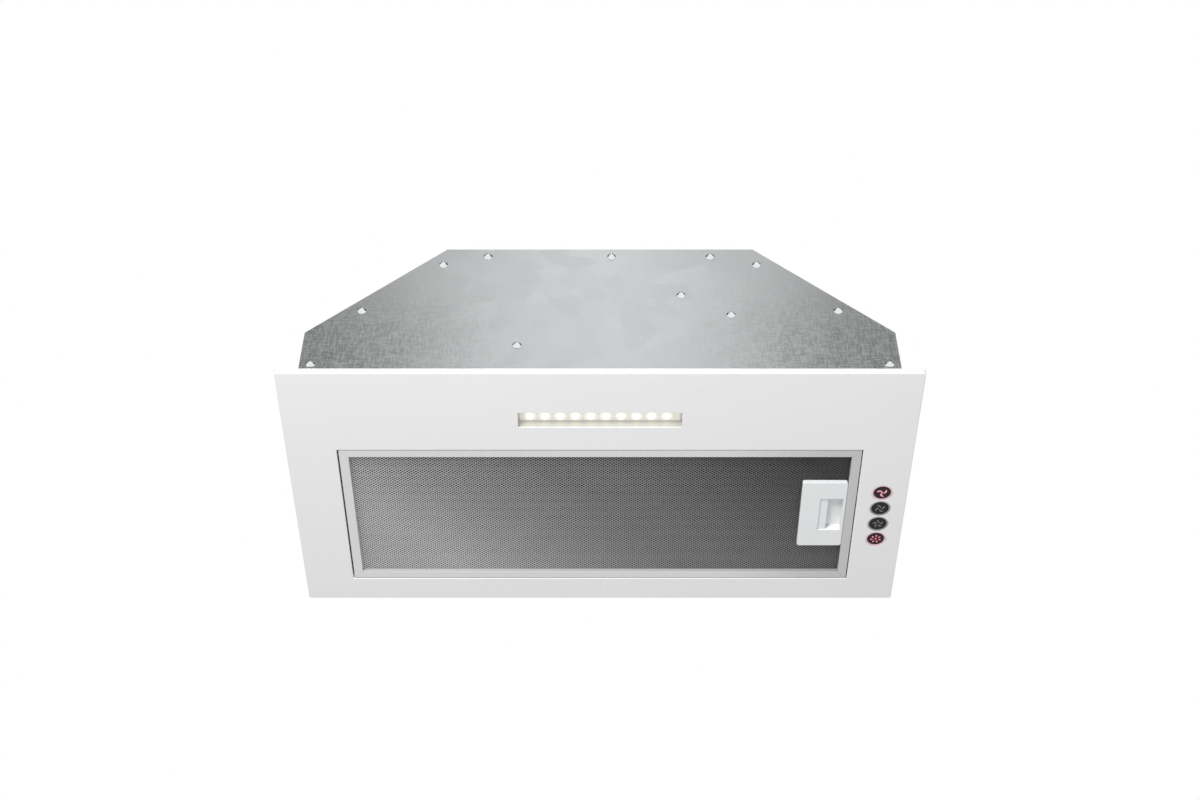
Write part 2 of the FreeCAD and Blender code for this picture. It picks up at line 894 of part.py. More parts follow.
def make_rivets():
    heads = []
    for x, z in rivet_places():
        for y, turn in ((body_front, TO_FRONT), (body_rear, TO_REAR)):
            heads.append(rivet_size() + (x, y, z, turn))
    studs("plate_rivets", heads)
    studs("field_screws", [rivet_size() + (x, body_front, z, TO_FRONT) for x, z in field_places()])
    foot_size = (
        size("foot_rivet_radius"), size("foot_rivet_height"), size("foot_rivet_shank"),
        steel + skin + size("foot_rivet_tail"),
    )
    studs("foot_rivets", [foot_size + (x, y, lip + steel, UP) for x, y in all_foot_places()])


def rivet_size():
    return size("rivet_radius"), size("rivet_height"), size("rivet_shank"), size("rivet_length")


def screw_size():
    return size("screw_head"), size("screw_head_height"), size("screw_shank"), size("screw_length")


# Outlet collar with its two flaps.


def make_outlet_collar():
    body = new_body("outlet_collar")
    outer, inner = collar_outer, collar_inner
    flange = outer + size("collar_flange_reach")
    rib_top = size("flap_pin_height") - size("flap_sheet") / 2 - size("flap_rest")
    rib_low = rib_top - size("collar_rib_height")
    rib_in = inner - size("collar_rib_width")
    base = size("collar_flange_sheet")
    revolve(
        body, "Z",
        outline(
            (inner, NONE), (flange, NONE), (flange, base), (outer, base),
            (outer, size("collar_height")), (inner, size("collar_height")), (inner, rib_top),
            (rib_in, rib_top), (rib_in, rib_low), (inner, rib_low),
        ),
    )
    pocket(body, "Z", NONE, base, circles(screw_hole, *collar_spots()))
    pocket(body, "X", -outer, outer, circles(size("flap_pin_radius"), (NONE, size("flap_pin_height"))))
    place(body, NONE, outlet_y, top)
    heads = [screw_size() + (x, y, top + base, UP) for x, y in collar_screw_places()]
    studs("collar_screws", heads)


def make_flap_pin():
    body = new_body("flap_pin")
    pad(body, "X", -collar_outer, collar_outer, circles(size("flap_pin_radius"), (NONE, NONE)))
    place(body, NONE, outlet_y, top + size("flap_pin_height"))


def make_flap(label, side):
    """A half-round flap; its own barrels sit between those of the other flap."""
    body = new_body(label)
    half = size("flap_sheet") / 2
    root = size("flap_root")
    reach = collar_inner - size("flap_edge_gap")
    chord = math.sqrt(number_of(reach) ** 2 - number_of(root) ** 2)
    chord_size = Size(chord, "sqrt(%s ^ 2 - %s ^ 2)" % (reach.formula, root.formula))
    pad(
        body, "Z", -half, half,
        outline(
            (-chord_size, root * side), (chord_size, root * side),
            rounds={1: (reach, (NONE, reach * side))},
        ),
    )
    long = (barrel_step - size("flap_barrel_gap")) / 2
    for step in (-1, 0, 1):
        middle = barrel_step * 2 * step + barrel_step / 2 * side
        pad(body, "X", middle - long, middle + long, circles(size("flap_barrel"), (NONE, NONE)))
        pad(body, "Z", -half, half, rectangle(middle - long, NONE, middle + long, (root + half) * side))
    bore = size("flap_pin_radius") + size("flap_pin_play")
    pocket(body, "X", -reach, reach, circles(bore, (NONE, NONE)))
    place(body, NONE, outlet_y, top + size("flap_pin_height"))


# Blower: scroll, wheel, motor. The local origin is the wheel's centre.


def scroll_line(offset):
    """Points of the scroll, from its tongue over the front and under the wheel to the outlet."""
    first = scroll_start + offset
    grow = size("scroll_growth")
    second = first + grow
    third = second + grow
    half = QUARTER_MIDDLE
    lift = top_inner - wheel_z
    points = [
        (NONE, first), (-first, NONE), (grow, -second), (grow + third, grow), (grow + third, lift),
    ]
    bows = {
        0: (first, (first * -half, first * half)),
        1: (second, (grow - second * half, second * -half)),
        2: (third, (grow + third * half, grow - third * half)),
    }
    return points, bows


def make_scroll():
    sheet_size = size("scroll_sheet")
    inner, inner_bows = scroll_line(NONE)
    outer, outer_bows = scroll_line(sheet_size)
    half = scroll_width / 2
    body = new_body("scroll_wrap")
    corners = inner + list(reversed(outer))
    bows = dict(inner_bows)
    for index, bow in outer_bows.items():
        bows[len(corners) - 2 - index] = bow
    pad(body, "X", -half, half, outline(*corners, rounds=bows))
    lift = top_inner - wheel_z
    lead = scroll_lead
    tongue = inner[0][1]
    pad(
        body, "X", -half, half,
        outline(
            (NONE, tongue), (NONE, tongue + sheet_size), (-lead, lift), (-lead - sheet_size, lift),
            (-sheet_size, tongue + sheet_size * 0.5),
        ),
    )
    place(body, NONE, wheel_y, wheel_z)
    for label, side in (("scroll_side_left", -1), ("scroll_side_right", 1)):
        make_scroll_side(label, side, half, lift, lead)
    heads = [screw_size() + (x, y, top, UP) for x, y in scroll_screw_places()]
    studs("scroll_screws", heads)


def make_scroll_side(label, side, half, lift, lead):
    body = new_body(label)
    rim, bows = scroll_line(size("scroll_rim"))
    near = half if side > 0 else -(half + size("scroll_side"))
    far = near + size("scroll_side")
    edge = outline(*(rim + [(-lead - size("scroll_rim"), lift)]), rounds=bows)
    pad(body, "X", near, far, edge)
    pocket(body, "X", near, far, circles(size("scroll_inlet"), (NONE, NONE)))
    tab_start = half + size("scroll_side")
    ends = sorted((tab_start * side, (tab_start + size("scroll_tab")) * side), key=number_of)
    across = size("scroll_tab_width") / 2
    reach, along = scroll_spots()
    spots = [outlet_y + along * end - wheel_y for end in (-1, 1)]
    for spot in spots:
        pad(
            body, "Z", lift - size("scroll_side"), lift,
            rectangle(ends[0], spot - across, ends[1], spot + across),
        )
    pocket(
        body, "Z", lift - size("scroll_side"), lift,
        circles(screw_hole, *[(reach * side, spot) for spot in spots]),
    )
    place(body, NONE, wheel_y, wheel_z)


def make_wheel():
    body = new_body("impeller")
    half = wheel_width / 2
    rim = size("wheel_radius")
    root = rim - size("blade_depth")
    disc = size("wheel_disc") / 2
    hub = size("hub_length") / 2
    bore = size("shaft_radius")
    pad(body, "X", -disc, disc, circles(rim, (NONE, NONE)), circles(bore, (NONE, NONE)))
    pad(body, "X", -hub, hub, circles(size("hub_radius"), (NONE, NONE)), circles(bore, (NONE, NONE)))
    thin = size("blade_sheet") / 2
    lean = size("blade_lean")
    tip = rim - size("blade_inset")
    blade = pad(
        body, "X", -half, half,
        outline((-thin - lean, root), (thin - lean, root), (thin + lean, tip), (-thin + lean, tip)),
    )
    doc.recompute()
    ringed = body.newObject("PartDesign::PolarPattern", "impeller_blades")
    ringed.Originals = [blade]
    ringed.Axis = (origin_item(body, "X_Axis"), [""])
    ringed.Angle = 360.0
    ringed.Occurrences = int(number_of(size("blade_count")))
    body.Tip = ringed
    doc.recompute()
    ring = size("wheel_ring")
    for low, high in ((-half, -half + ring), (half - ring, half)):
        pad(body, "X", low, high, circles(rim, (NONE, NONE)), circles(root, (NONE, NONE)))
    place(body, NONE, wheel_y, wheel_z)
    shaft = new_body("motor_shaft")
    round_bar = circles(size("shaft_radius"), (NONE, NONE))
    pad(shaft, "X", motor_start - size("shaft_stub"), size("shaft_end"), round_bar)
    place(shaft, NONE, wheel_y, wheel_z)


def make_motor():
    can = new_body("motor")
    start = motor_start
    end = -size("hub_length") / 2 - size("motor_hub_gap")
    bearing = size("bearing_radius")
    seat = size("bearing_length")
    centre = (NONE, NONE)
    run = size("shaft_radius") + size("shaft_play")
    pad(can, "X", start, end, circles(size("motor_radius"), centre), circles(run, centre))
    pocket(can, "X", start, start + seat, circles(bearing, centre))
    pocket(can, "X", end - seat, end, circles(bearing, centre))
    depth = size("motor_screw_depth")
    screws = circles(screw_hole, *ring_of_places(MOTOR_SCREW_ANGLE, "motor_screw_circle"))
    pocket(can, "X", start, start + depth, screws)
    across = number_of(size("motor_radius") + bearing)
    fillet(can, size("motor_round"), lambda edge: at(edge, "X", end) and edge.BoundBox.ZLength > across)
    place(can, NONE, wheel_y, wheel_z)
    for label, low in (("bearing_left", start), ("bearing_right", end - seat)):
        ring = new_body(label)
        pad(ring, "X", low, low + seat, circles(bearing, centre), circles(run, centre))
        place(ring, NONE, wheel_y, wheel_z)


def ring_of_places(first_angle, alias):
    """Three places a third of a turn apart on a circle about the wheel's axis."""
    angles = [math.radians(first_angle + 120 * step) for step in range(3)]
    return [(size(alias) * math.cos(angle), size(alias) * math.sin(angle)) for angle in angles]


def make_motor_bracket():
    body = new_body("motor_bracket")
    face = motor_start
    sheet_size = size("bracket_sheet")
    centre = (NONE, NONE)
    half = size("bracket_arm") / 2
    reach = size("bracket_reach")
    pad(body, "X", face - sheet_size, face, circles(size("bracket_ring"), centre))
    for step in range(3):
        angle = math.radians(ARM_ANGLE + 120 * step)
        across, along = math.cos(angle), math.sin(angle)
        corners = [
            (far * across - wide * along, far * along + wide * across)
            for far, wide in ((NONE, -half), (reach, -half), (reach, half), (NONE, half))
        ]
        pad(body, "X", face - sheet_size, face, outline(*corners))
    pocket(body, "X", face - sheet_size, face, circles(size("bracket_hole"), centre))
    place(body, NONE, wheel_y, wheel_z)
    arm_spots = ring_of_places(ARM_ANGLE, "bracket_screw_circle")
    motor_spots = ring_of_places(MOTOR_SCREW_ANGLE, "motor_screw_circle")
    pocket(body, "X", face - sheet_size, face, circles(screw_hole, *(arm_spots + motor_spots)))
    side = next(item for item in parts if item.Label == "scroll_side_left")
    pocket(side, "X", face, face + size("scroll_side"), circles(screw_hole, *arm_spots))
    heads = []
    tail = size("cut_margin")
    grips = ((arm_spots, size("scroll_side") + tail), (motor_spots, size("motor_screw_depth") - tail))
    for spots, grip in grips:
        for across, along in spots:
            heads.append((
                size("screw_head"), size("screw_head_height"), size("screw_shank"), sheet_size + grip,
                face - sheet_size, wheel_y + across, wheel_z + along, TO_LEFT,
            ))
    studs("bracket_screws", heads)


# Electronics.


def open_box(label, left, right, low, high, depth, wall, bosses):
    """A box on the inside of the front plate, open to the rear, with a boss for each screw."""
    body = new_body(label)
    face = inner_front
    pad(body, "Y", face, face + depth, rectangle(left, low, right, high))
    pocket(
        body, "Y", face + wall, face + depth,
        rectangle(left + wall, low + wall, right - wall, high - wall),
    )
    boss_end = face + wall + size("rivet_length")
    pad(body, "Y", face + wall, boss_end, circles(size("boss_radius"), *bosses))
    pocket(body, "Y", face, face + screw_depth, circles(rivet_hole, *bosses))
    return body


def make_electronics():
    left, right = box_left, box_right
    low, high = box_low, box_high
    wall = size("box_wall")
    depth = size("box_depth")
    bosses = field_places()[:2]
    box = open_box("terminal_box", left, right, low, high, depth, wall, bosses)
    hole = size("motor_lead_radius") + size("lead_play")
    pocket(box, "X", left, left + wall, circles(hole, (entry_y, entry_z)))
    hole = size("control_lead_radius") + size("lead_play")
    pocket(box, "X", right - wall, right, circles(hole, (entry_y, entry_z)))
    rear = inner_front + depth
    lid = new_body("terminal_lid")
    pad(lid, "Y", rear, rear + wall, rectangle(left, low, right, high))
    fillet(lid, wall / 2, lambda edge: at(edge, "Y", rear + wall))
    board = new_body("power_board")
    near = inner_front + wall + size("rivet_length")
    inside = (left + wall, low + wall, right - wall, high - wall)
    pad(board, "Y", near, near + size("board_sheet"), rectangle(*inside))
    face = near + size("board_sheet")
    block = new_body("terminal_block")
    margin = wall + size("box_margin")
    block_left = left + margin
    block_right = block_left + size("block_width")
    block_high = high - margin
    block_low = block_high - size("block_height")
    block_middle = block_left + size("block_width") / 2
    pad(
        block, "Y", face, face + size("block_depth"),
        rectangle(block_left, block_low, block_right, block_high),
    )
    pocket(
        block, "Y", face + size("block_depth") / 2, face + size("block_depth"),
        circles(size("screw_shank"), *[
            (block_middle + size("block_pitch") * step, block_low + size("block_height") / 2)
            for step in (-1, 0, 1)
        ]),
    )
    can = new_body("capacitor")
    can_y = face + size("capacitor_radius")
    can_z = low + margin + size("capacitor_radius")
    can_right = right - margin
    can_left = can_right - size("capacitor_length")
    pad(can, "X", can_left, can_right, circles(size("capacitor_radius"), (can_y, can_z)))
    make_lamp_driver(wall)


def make_lamp_driver(wall):
    body = new_body("lamp_driver")
    depth = size("driver_depth")
    outer = rectangle(driver_left, driver_low, driver_right, driver_high)
    pad(body, "Y", inner_front, inner_front + depth, outer)
    fillet(body, wall, lambda edge: at(edge, "Y", inner_front + depth))
    pocket(
        body, "Y", inner_front, inner_front + screw_depth, circles(rivet_hole, field_places()[2]),
    )


def make_gland():
    body = new_body("cord_gland")
    centre = (NONE, NONE)
    bore = circles(size("gland_bore"), centre)
    sixths = [math.radians(60 * step) for step in range(6)]
    reach = size("gland_hex")
    hexagon = [(reach * math.cos(angle), reach * math.sin(angle)) for angle in sixths]
    thread = size("gland_radius") - size("hole_play")
    nut = size("nut_height")
    pad(body, "Z", NONE, nut, outline(*hexagon), bore)
    pad(body, "Z", nut, size("gland_height"), circles(size("gland_radius"), centre), bore)
    pad(body, "Z", -size("gland_thread"), NONE, circles(thread, centre), bore)
    place(body, size("gland_x"), size("gland_y"), top)
    ring = new_body("gland_nut")
    pad(ring, "Z", -steel - nut, -steel, outline(*hexagon), circles(thread, centre))
    place(ring, size("gland_x"), size("gland_y"), top)


# Lamp: trough, board and LEDs.


def make_lamp():
    trough = new_body("lamp_trough")
    sheet_size = size("trough_sheet")
    step = size("trough_step")
    foot = size("trough_foot")
    roof = skin + size("trough_height")
    inner = (-(slot_x + step), slot_front - step, slot_x + step, slot_rear + step)
    outer = grown(inner, sheet_size)
    pad(trough, "Z", skin, roof, rectangle(*outer), rectangle(*inner))
    pad(trough, "Z", roof, roof + sheet_size, rectangle(*outer))
    pad(trough, "Z", skin, skin + sheet_size, rectangle(*grown(outer, foot)), rectangle(*inner))
    board = new_body("lamp_board")
    board_x = slot_x - size("lamp_board_play")
    board_y = panel_front + size("lamp_board_y")
    half = size("lamp_board_depth") / 2
    low = roof - size("lamp_board_sheet")
    pad(board, "Z", low, roof, rectangle(-board_x, board_y - half, board_x, board_y + half))
    count = int(number_of(size("led_count")))
    chips = []
    for index in range(count):
        x = size("led_pitch") * (index - (count - 1) / 2) + size("led_shift")
        chip = doc.addObject("Part::Box", "chip")
        bind(chip, "Length", size("led_size"))
        bind(chip, "Width", size("led_size"))
        bind(chip, "Height", size("led_height"))
        place(chip, x - size("led_size") / 2, board_y - size("led_size") / 2, low - size("led_height"))
        chips.append(chip)
    group("lamp_leds", chips)


def grown(box, by):
    left, low, right, high = box
    return left - by, low - by, right + by, high + by


# Push buttons.


def make_buttons():
    x = size("button_x")
    face = size("button_recess")
    collar_low = face + size("button_face")
    collar_high = collar_low + size("button_collar_sheet")
    stem_high = collar_high + size("button_stem_length")
    ring_top = skin + size("ring_flange_sheet")
    inner = size("button_radius") + size("ring_play")
    for name, y in zip(button_names, buttons_y):
        cap = new_body("button_" + name)
        centre = (NONE, NONE)
        pad(cap, "Z", face, collar_low, circles(size("button_radius"), centre))
        pad(cap, "Z", collar_low, collar_high, circles(size("button_collar"), centre))
        pad(cap, "Z", collar_high, stem_high, circles(size("button_stem"), centre))
        place(cap, x, y, NONE)
        ring = new_body("ring_" + name)
        hole = circles(inner, centre)
        pad(ring, "Z", size("ring_recess"), skin, circles(size("ring_radius"), centre), hole)
        pad(ring, "Z", skin, ring_top, circles(size("ring_flange"), centre), hole)
        place(ring, x, y, NONE)


def control_lead_place():
    return control_left + size("control_lead_inset"), control_rear - size("lead_entry")


def make_controls():
    housing = new_body("control_housing")
    wall = size("housing_wall")
    outer = (control_left, control_front, control_right, control_rear)
    inner = grown(outer, -wall)
    pad(housing, "Z", skin, control_top, rectangle(*outer))
    pocket(housing, "Z", skin, control_top - wall, rectangle(*inner))
    board_low = size("control_board_z")
    board_high = board_low + size("board_sheet")
    ledge = size("housing_wall") * 2
    left, front, right, rear = inner
    pad(
        housing, "Z", board_high, control_top - wall,
        rectangle(left, front, right, front + ledge),
        rectangle(left, rear - ledge, right, rear),
    )
    hole = size("control_lead_radius") + size("lead_play")
    pocket(housing, "Z", control_top - wall, control_top, circles(hole, control_lead_place()))
    board = new_body("control_board")
    pad(board, "Z", board_low, board_high, rectangle(*grown(inner, -size("control_board_play"))))
    low = board_low - size("switch_height")
    half = size("switch_size") / 2
    switches = []
    for y in buttons_y:
        block = doc.addObject("Part::Box", "switch_block")
        bind(block, "Length", size("switch_size"))
        bind(block, "Width", size("switch_size"))
        bind(block, "Height", size("switch_height"))
        place(block, size("button_x") - half, y - half, low)
        plunger = rod(
            size("switch_plunger"), size("switch_plunger_height") + size("switch_plunger_root"),
            size("button_x"), y, low - size("switch_plunger_height"),
        )
        pair = doc.addObject("Part::Fuse", "switch")
        pair.Base = block
        pair.Tool = plunger
        switches.append(pair)
    group("key_switches", switches)


# Grease filter and its latch.


def frame_bar(label, length, x, y, turn):
    """A folded channel with a hemmed inner edge and mitred ends, along its own X axis."""
    body = new_body(label)
    width = size("frame_width")
    wall = size("frame_sheet")
    low, high = filter_face, filter_top
    half = length / 2
    section = outline(
        (NONE, low), (width, low), (width, mesh_face), (width - wall, mesh_face),
        (width - wall, low + wall), (wall, low + wall), (wall, high - wall), (width, high - wall),
        (width, high), (NONE, high),
    )
    pad(body, "X", -half, half, section)
    bar_width = number_of(width)
    fillet(body, size("frame_round"), lambda edge: at(edge, "Z", low) and edge.BoundBox.XLength > bar_width)
    gap = size("mitre_gap") / 2
    ends = []
    for side in (-1, 1):
        tip = (half - gap) * side
        ends.append(outline(
            (tip + wall * side, -wall), (tip - (width + wall) * side, width + wall),
            ((half + wall * 2) * side, width + wall),
        ))
    pocket(body, "Z", low, high, *ends)
    place(body, x, y, NONE, turn)
    return body


def make_filter_frame():
    width = filter_right - filter_left
    across = (filter_left + filter_right) / 2
    depth = filter_rear - filter_front
    quarter = Rotation(Vector(0, 0, 1), 90)
    frame_bar("filter_frame_front", width, across, filter_front, Rotation())
    frame_bar("filter_frame_rear", width, across, filter_rear, Rotation(Vector(0, 0, 1), 180))
    frame_bar("filter_frame_left", depth, filter_left, filter_middle, quarter.inverted())
    right = frame_bar("filter_frame_right", depth, filter_right, filter_middle, quarter)
    slots = [
        rectangle(
            near - filter_middle - slot_play, slider_low - size("slider_play"),
            far - filter_middle + slot_play, mesh_face,
        )
        for near, far in arms_y
    ]
    pocket(right, "Y", NONE, size("frame_width"), *slots)


def make_filter_mesh():
    edge = size("mesh_edge")
    sheet_size = size("mesh_sheet")
    outer = (filter_left + edge, filter_front + edge, filter_right - edge, filter_rear - edge)
    hole = grown((grip_right, pocket_front, pocket_right, pocket_rear), pocket_wall + size("ring_play"))
    layers = (
        ("filter_mesh_lower", mesh_face, mesh_face + sheet_size),
        ("filter_mesh_upper", mesh_top - sheet_size, mesh_top),
    )
    for label, low, high in layers:
        body = new_body(label)
        pad(body, "Z", low, high, rectangle(*outer), rectangle(*hole))
    left, front, right, rear = outer
    hole_left, hole_front, hole_right, hole_rear = hole
    beside = hole_left + size("core_pad_gap")
    # The core is three pads: one left of the pocket, one in front of it and one behind it.
    areas = (
        (left, front, hole_left, rear),
        (beside, front, right, hole_front),
        (beside, hole_rear, right, rear),
    )
    pieces = []
    for near_x, near_y, far_x, far_y in areas:
        piece = doc.addObject("Part::Box", "core_pad")
        bind(piece, "Length", far_x - near_x)
        bind(piece, "Width", far_y - near_y)
        bind(piece, "Height", mesh_top - mesh_face - sheet_size * 2)
        place(piece, near_x, near_y, mesh_face + sheet_size)
        pieces.append(piece)
    group("filter_core", pieces)


def make_filter_tabs():
    tabs = []
    for y in tabs_y:
        tab = doc.addObject("Part::Box", "tab")
        bind(tab, "Length", size("tab_length"))
        bind(tab, "Width", size("tab_width"))
        bind(tab, "Height", size("tab_sheet"))
        place(tab, filter_left - size("tab_length"), y - size("tab_width") / 2, tab_low)
        tabs.append(tab)
    group("filter_tabs", tabs)


def make_latch_plate():
    body = new_body("latch_plate")
    face_top = filter_face + size("latch_sheet")
    wall = pocket_wall
    outer = (latch_left, latch_front, latch_right, latch_rear)
    window = rectangle(pocket_left, pocket_front, pocket_right, pocket_rear)
    pad(body, "Z", filter_face, face_top, rectangle(*outer))
    pad(body, "Z", face_top, mesh_face, rectangle(*outer), rectangle(*grown(outer, -size("latch_rim"))))
    fillet(body, size("latch_corner"), is_latch_corner)
    pocket(body, "Z", filter_face, face_top, window)
    roof_top = pocket_roof + wall
    side_walls = (
        rectangle(pocket_left, pocket_front - wall, pocket_right + wall, pocket_front),
        rectangle(pocket_left, pocket_rear, pocket_right + wall, pocket_rear + wall),
        rectangle(pocket_right, pocket_front, pocket_right + wall, pocket_rear),
    )
    for drawing in side_walls:
        pad(body, "Z", face_top, mesh_face, drawing)
    deep = (grip_right, pocket_front, pocket_right, pocket_rear)
    pad(body, "Z", mesh_face, pocket_roof, rectangle(*grown(deep, wall)), rectangle(*deep))
    pad(body, "Z", pocket_roof, roof_top, rectangle(*grown(deep, wall)))
    for near, far in arms_y:
        pocket(
            body, "Z", face_top, mesh_face,
            rectangle(latch_right - size("latch_rim"), near - slot_play, latch_right, far + slot_play),
        )
    fillet(body, size("latch_round"), lambda edge: at(edge, "Z", filter_face) and is_plate_rim(edge))


def is_latch_corner(edge):
    tall = abs(edge.BoundBox.ZLength - number_of(size("frame_hem"))) < 0.01
    return tall and (at(edge, "X", latch_left) or at(edge, "X", latch_right))


def is_plate_rim(edge):
    box = edge.BoundBox
    reach = number_of(size("latch_corner")) + 0.01
    beside = min(abs(box.XMin - number_of(latch_left)), abs(box.XMax - number_of(latch_right))) < reach
    endways = min(abs(box.YMin - number_of(latch_front)), abs(box.YMax - number_of(latch_rear))) < reach
    return beside or endways


def make_latch_slider():
    body = new_body("latch_slider")
    play = size("slider_play")
    back_right = slider_left + size("slider_back")
    nose = opening_x - size("slider_nose_gap")
    (front_low, front_high), (rear_low, rear_high) = arms_y
    grip_low, grip_high = pocket_front + play, pocket_rear - play
    pad(
        body, "Z", slider_low, slider_high,
        outline(
            (slider_left, front_low), (nose, front_low), (nose, front_high), (back_right, front_high),
            (back_right, grip_low), (grip_right, grip_low), (grip_right, grip_high),
            (back_right, grip_high), (back_right, rear_low), (nose, rear_low), (nose, rear_high),
            (slider_left, rear_high),
        ),
    )


def make_latch_spring():
    body = new_body("latch_spring")
    near = latch_left + size("latch_rim") + size("ring_play")
    far = slider_left - size("ring_play")
    sag = far - near - size("spring_sheet")
    half = size("spring_chord") / 2
    middle = (pocket_front + pocket_rear) / 2
    outer_bow = (half * half + sag * sag) / (sag * 2)
    thin = size("spring_sheet")
    low = slider_low
    pad(
        body, "Z", low, low + size("spring_height"),
        outline(
            (far, middle + half), (far, middle - half),
            (far - thin, middle - half), (far - thin, middle + half),
            rounds={
                0: (outer_bow, (near + thin, middle)),
                2: (outer_bow, (near, middle)),
            },
        ),
    )


# Leads inside the body.


def route(points):
    """Straight runs joined by arcs as large as the two runs at each corner allow."""
    edges = []
    start = points[0]
    for index in range(1, len(points) - 1):
        before, corner, after = points[index - 1], points[index], points[index + 1]
        back = before - corner
        ahead = after - corner
        turn = math.pi - back.getAngle(ahead)
        radius = 0.45 * min(back.Length, ahead.Length) / math.tan(turn / 2)
        cut = radius * math.tan(turn / 2)
        back.normalize()
        ahead.normalize()
        first = corner + back * cut
        last = corner + ahead * cut
        inward = (back + ahead).normalize()
        middle = corner + inward * (radius / math.cos(turn / 2) - radius)
        edges.append(Part.LineSegment(start, first).toShape())
        edges.append(Part.Arc(first, middle, last).toShape())
        print("lead corner radius %.1f" % radius)
        start = last
    edges.append(Part.LineSegment(start, points[-1]).toShape())
    return Part.Wire(edges)


def lead(label, radius, points):
    path = route(points)
    way = points[1] - points[0]
    ring = Part.Wire(Part.makeCircle(number_of(radius), points[0], way))
    tube = path.makePipeShell([ring], True, False)
    print("%s: volume over section times length %.4f" % (
        label, tube.Volume / (math.pi * number_of(radius) ** 2 * path.Length)))
    item = doc.addObject("Part::Feature", label)
    item.Label = label
    item.Shape = tube
    item.Placement = Placement()
    parts.append(item)


def spot(x, y, z):
    return Vector(number_of(x), number_of(y), number_of(z))


def make_leads():
    roof = skin + size("trough_height") + size("trough_sheet")
    lamp_y = panel_front + size("lamp_board_y")
    driver_x = (driver_left + driver_right) / 2
    driver_z = (driver_low + driver_high) / 2
    driver_face = inner_front + size("driver_depth")
    lead(
        "lamp_lead", size("lamp_lead_radius"),
        [
            spot(driver_x, lamp_y, roof), spot(driver_x, lamp_y, driver_z),
            spot(driver_x, driver_face, driver_z),
        ],
    )
    motor_z = wheel_z + size("motor_lead_offset")
    turn_x = motor_start - size("motor_lead_reach")
    box_inside = box_left + size("box_wall") + size("lead_entry_depth")
    lead(
        "motor_lead", size("motor_lead_radius"),
        [
            spot(motor_start, wheel_y, motor_z), spot(turn_x, wheel_y, motor_z),
            spot(turn_x, entry_y, entry_z), spot(box_inside, entry_y, entry_z),
        ],
    )
    control_x, control_y = control_lead_place()
    board_top = size("control_board_z") + size("board_sheet")
    box_end = box_right - size("box_wall") - size("lead_entry_depth")
    lead(
        "control_lead", size("control_lead_radius"),
        [
            spot(control_x, control_y, board_top), spot(control_x, control_y, size("control_lead_rise")),
            spot(size("control_lead_bend_x"), wheel_y, entry_z),
            spot(size("control_lead_front_x"), entry_y, entry_z), spot(box_end, entry_y, entry_z),
        ],
    )


def check_parts():
    for item in doc.Objects:
        if "Invalid" in item.State or "Error" in item.State:
            raise RuntimeError("%s failed: %s" % (item.Label, item.State))
    for item in parts:
        if item.Shape.isNull() or not item.Shape.isValid() or not item.Shape.Solids:
            raise RuntimeError("%s has no valid solid" % item.Label)


make_face_panel()
make_front_plate()
make_rear_plate()
make_body_wrap()
make_rivets()
make_outlet_collar()
make_flap_pin()
make_flap("flap_front", -1)
make_flap("flap_rear", 1)
make_scroll()
make_wheel()
make_motor()
make_motor_bracket()
make_electronics()
make_gland()
make_lamp()
make_buttons()
make_controls()
make_filter_frame()
make_filter_mesh()
make_filter_tabs()
make_latch_plate()
make_latch_slider()
make_latch_spring()
make_leads()
doc.recompute()
check_parts()

os.makedirs("parts", exist_ok=True)
for item in parts:
    item.Shape.exportStep("parts/%s.step" % item.Label)
    box = item.Shape.BoundBox
    print("%-20s %2d solids  x %.1f..%.1f  y %.1f..%.1f  z %.1f..%.1f" % (
        item.Label, len(item.Shape.Solids), box.XMin, box.XMax, box.YMin, box.YMax, box.ZMin, box.ZMax))
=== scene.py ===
import bmesh
import bpy
import math
from mathutils import Matrix, Vector


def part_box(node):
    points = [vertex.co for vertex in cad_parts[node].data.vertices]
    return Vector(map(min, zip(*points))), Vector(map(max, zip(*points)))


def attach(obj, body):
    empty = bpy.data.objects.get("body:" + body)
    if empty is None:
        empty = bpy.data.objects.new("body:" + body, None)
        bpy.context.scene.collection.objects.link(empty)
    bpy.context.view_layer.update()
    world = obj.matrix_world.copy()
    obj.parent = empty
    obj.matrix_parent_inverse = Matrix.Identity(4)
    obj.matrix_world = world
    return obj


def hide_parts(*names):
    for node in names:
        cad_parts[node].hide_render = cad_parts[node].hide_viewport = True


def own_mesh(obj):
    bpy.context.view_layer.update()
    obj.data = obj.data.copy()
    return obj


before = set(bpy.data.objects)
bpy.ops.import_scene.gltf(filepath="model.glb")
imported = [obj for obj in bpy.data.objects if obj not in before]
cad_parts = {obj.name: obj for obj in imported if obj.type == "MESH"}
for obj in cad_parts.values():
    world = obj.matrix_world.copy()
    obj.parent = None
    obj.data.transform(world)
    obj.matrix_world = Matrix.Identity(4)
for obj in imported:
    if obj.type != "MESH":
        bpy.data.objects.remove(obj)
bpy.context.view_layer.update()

# Range hood insert seen from below: the looks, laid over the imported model.
# Lengths are metres. +Z is up, the front looks along -Y, the panel's underside is z = 0.

millimetre = 0.001
print("frame loaded,", len(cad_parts), "nodes")


# Shader maths

class Value:                                     # a shader socket that takes Python's operators
    def __init__(self, tree, socket):
        self.tree = tree
        self.socket = socket

    def other(self, name):                       # another output of the same node
        return Value(self.tree, self.socket.node.outputs[name])

    def __add__(self, right):
        return self.tree.maths("ADD", self, right)

    def __radd__(self, left):
        return self.tree.maths("ADD", left, self)

    def __sub__(self, right):
        return self.tree.maths("SUBTRACT", self, right)

    def __rsub__(self, left):
        return self.tree.maths("SUBTRACT", left, self)

    def __mul__(self, right):
        return self.tree.maths("MULTIPLY", self, right)

    def __rmul__(self, left):
        return self.tree.maths("MULTIPLY", left, self)


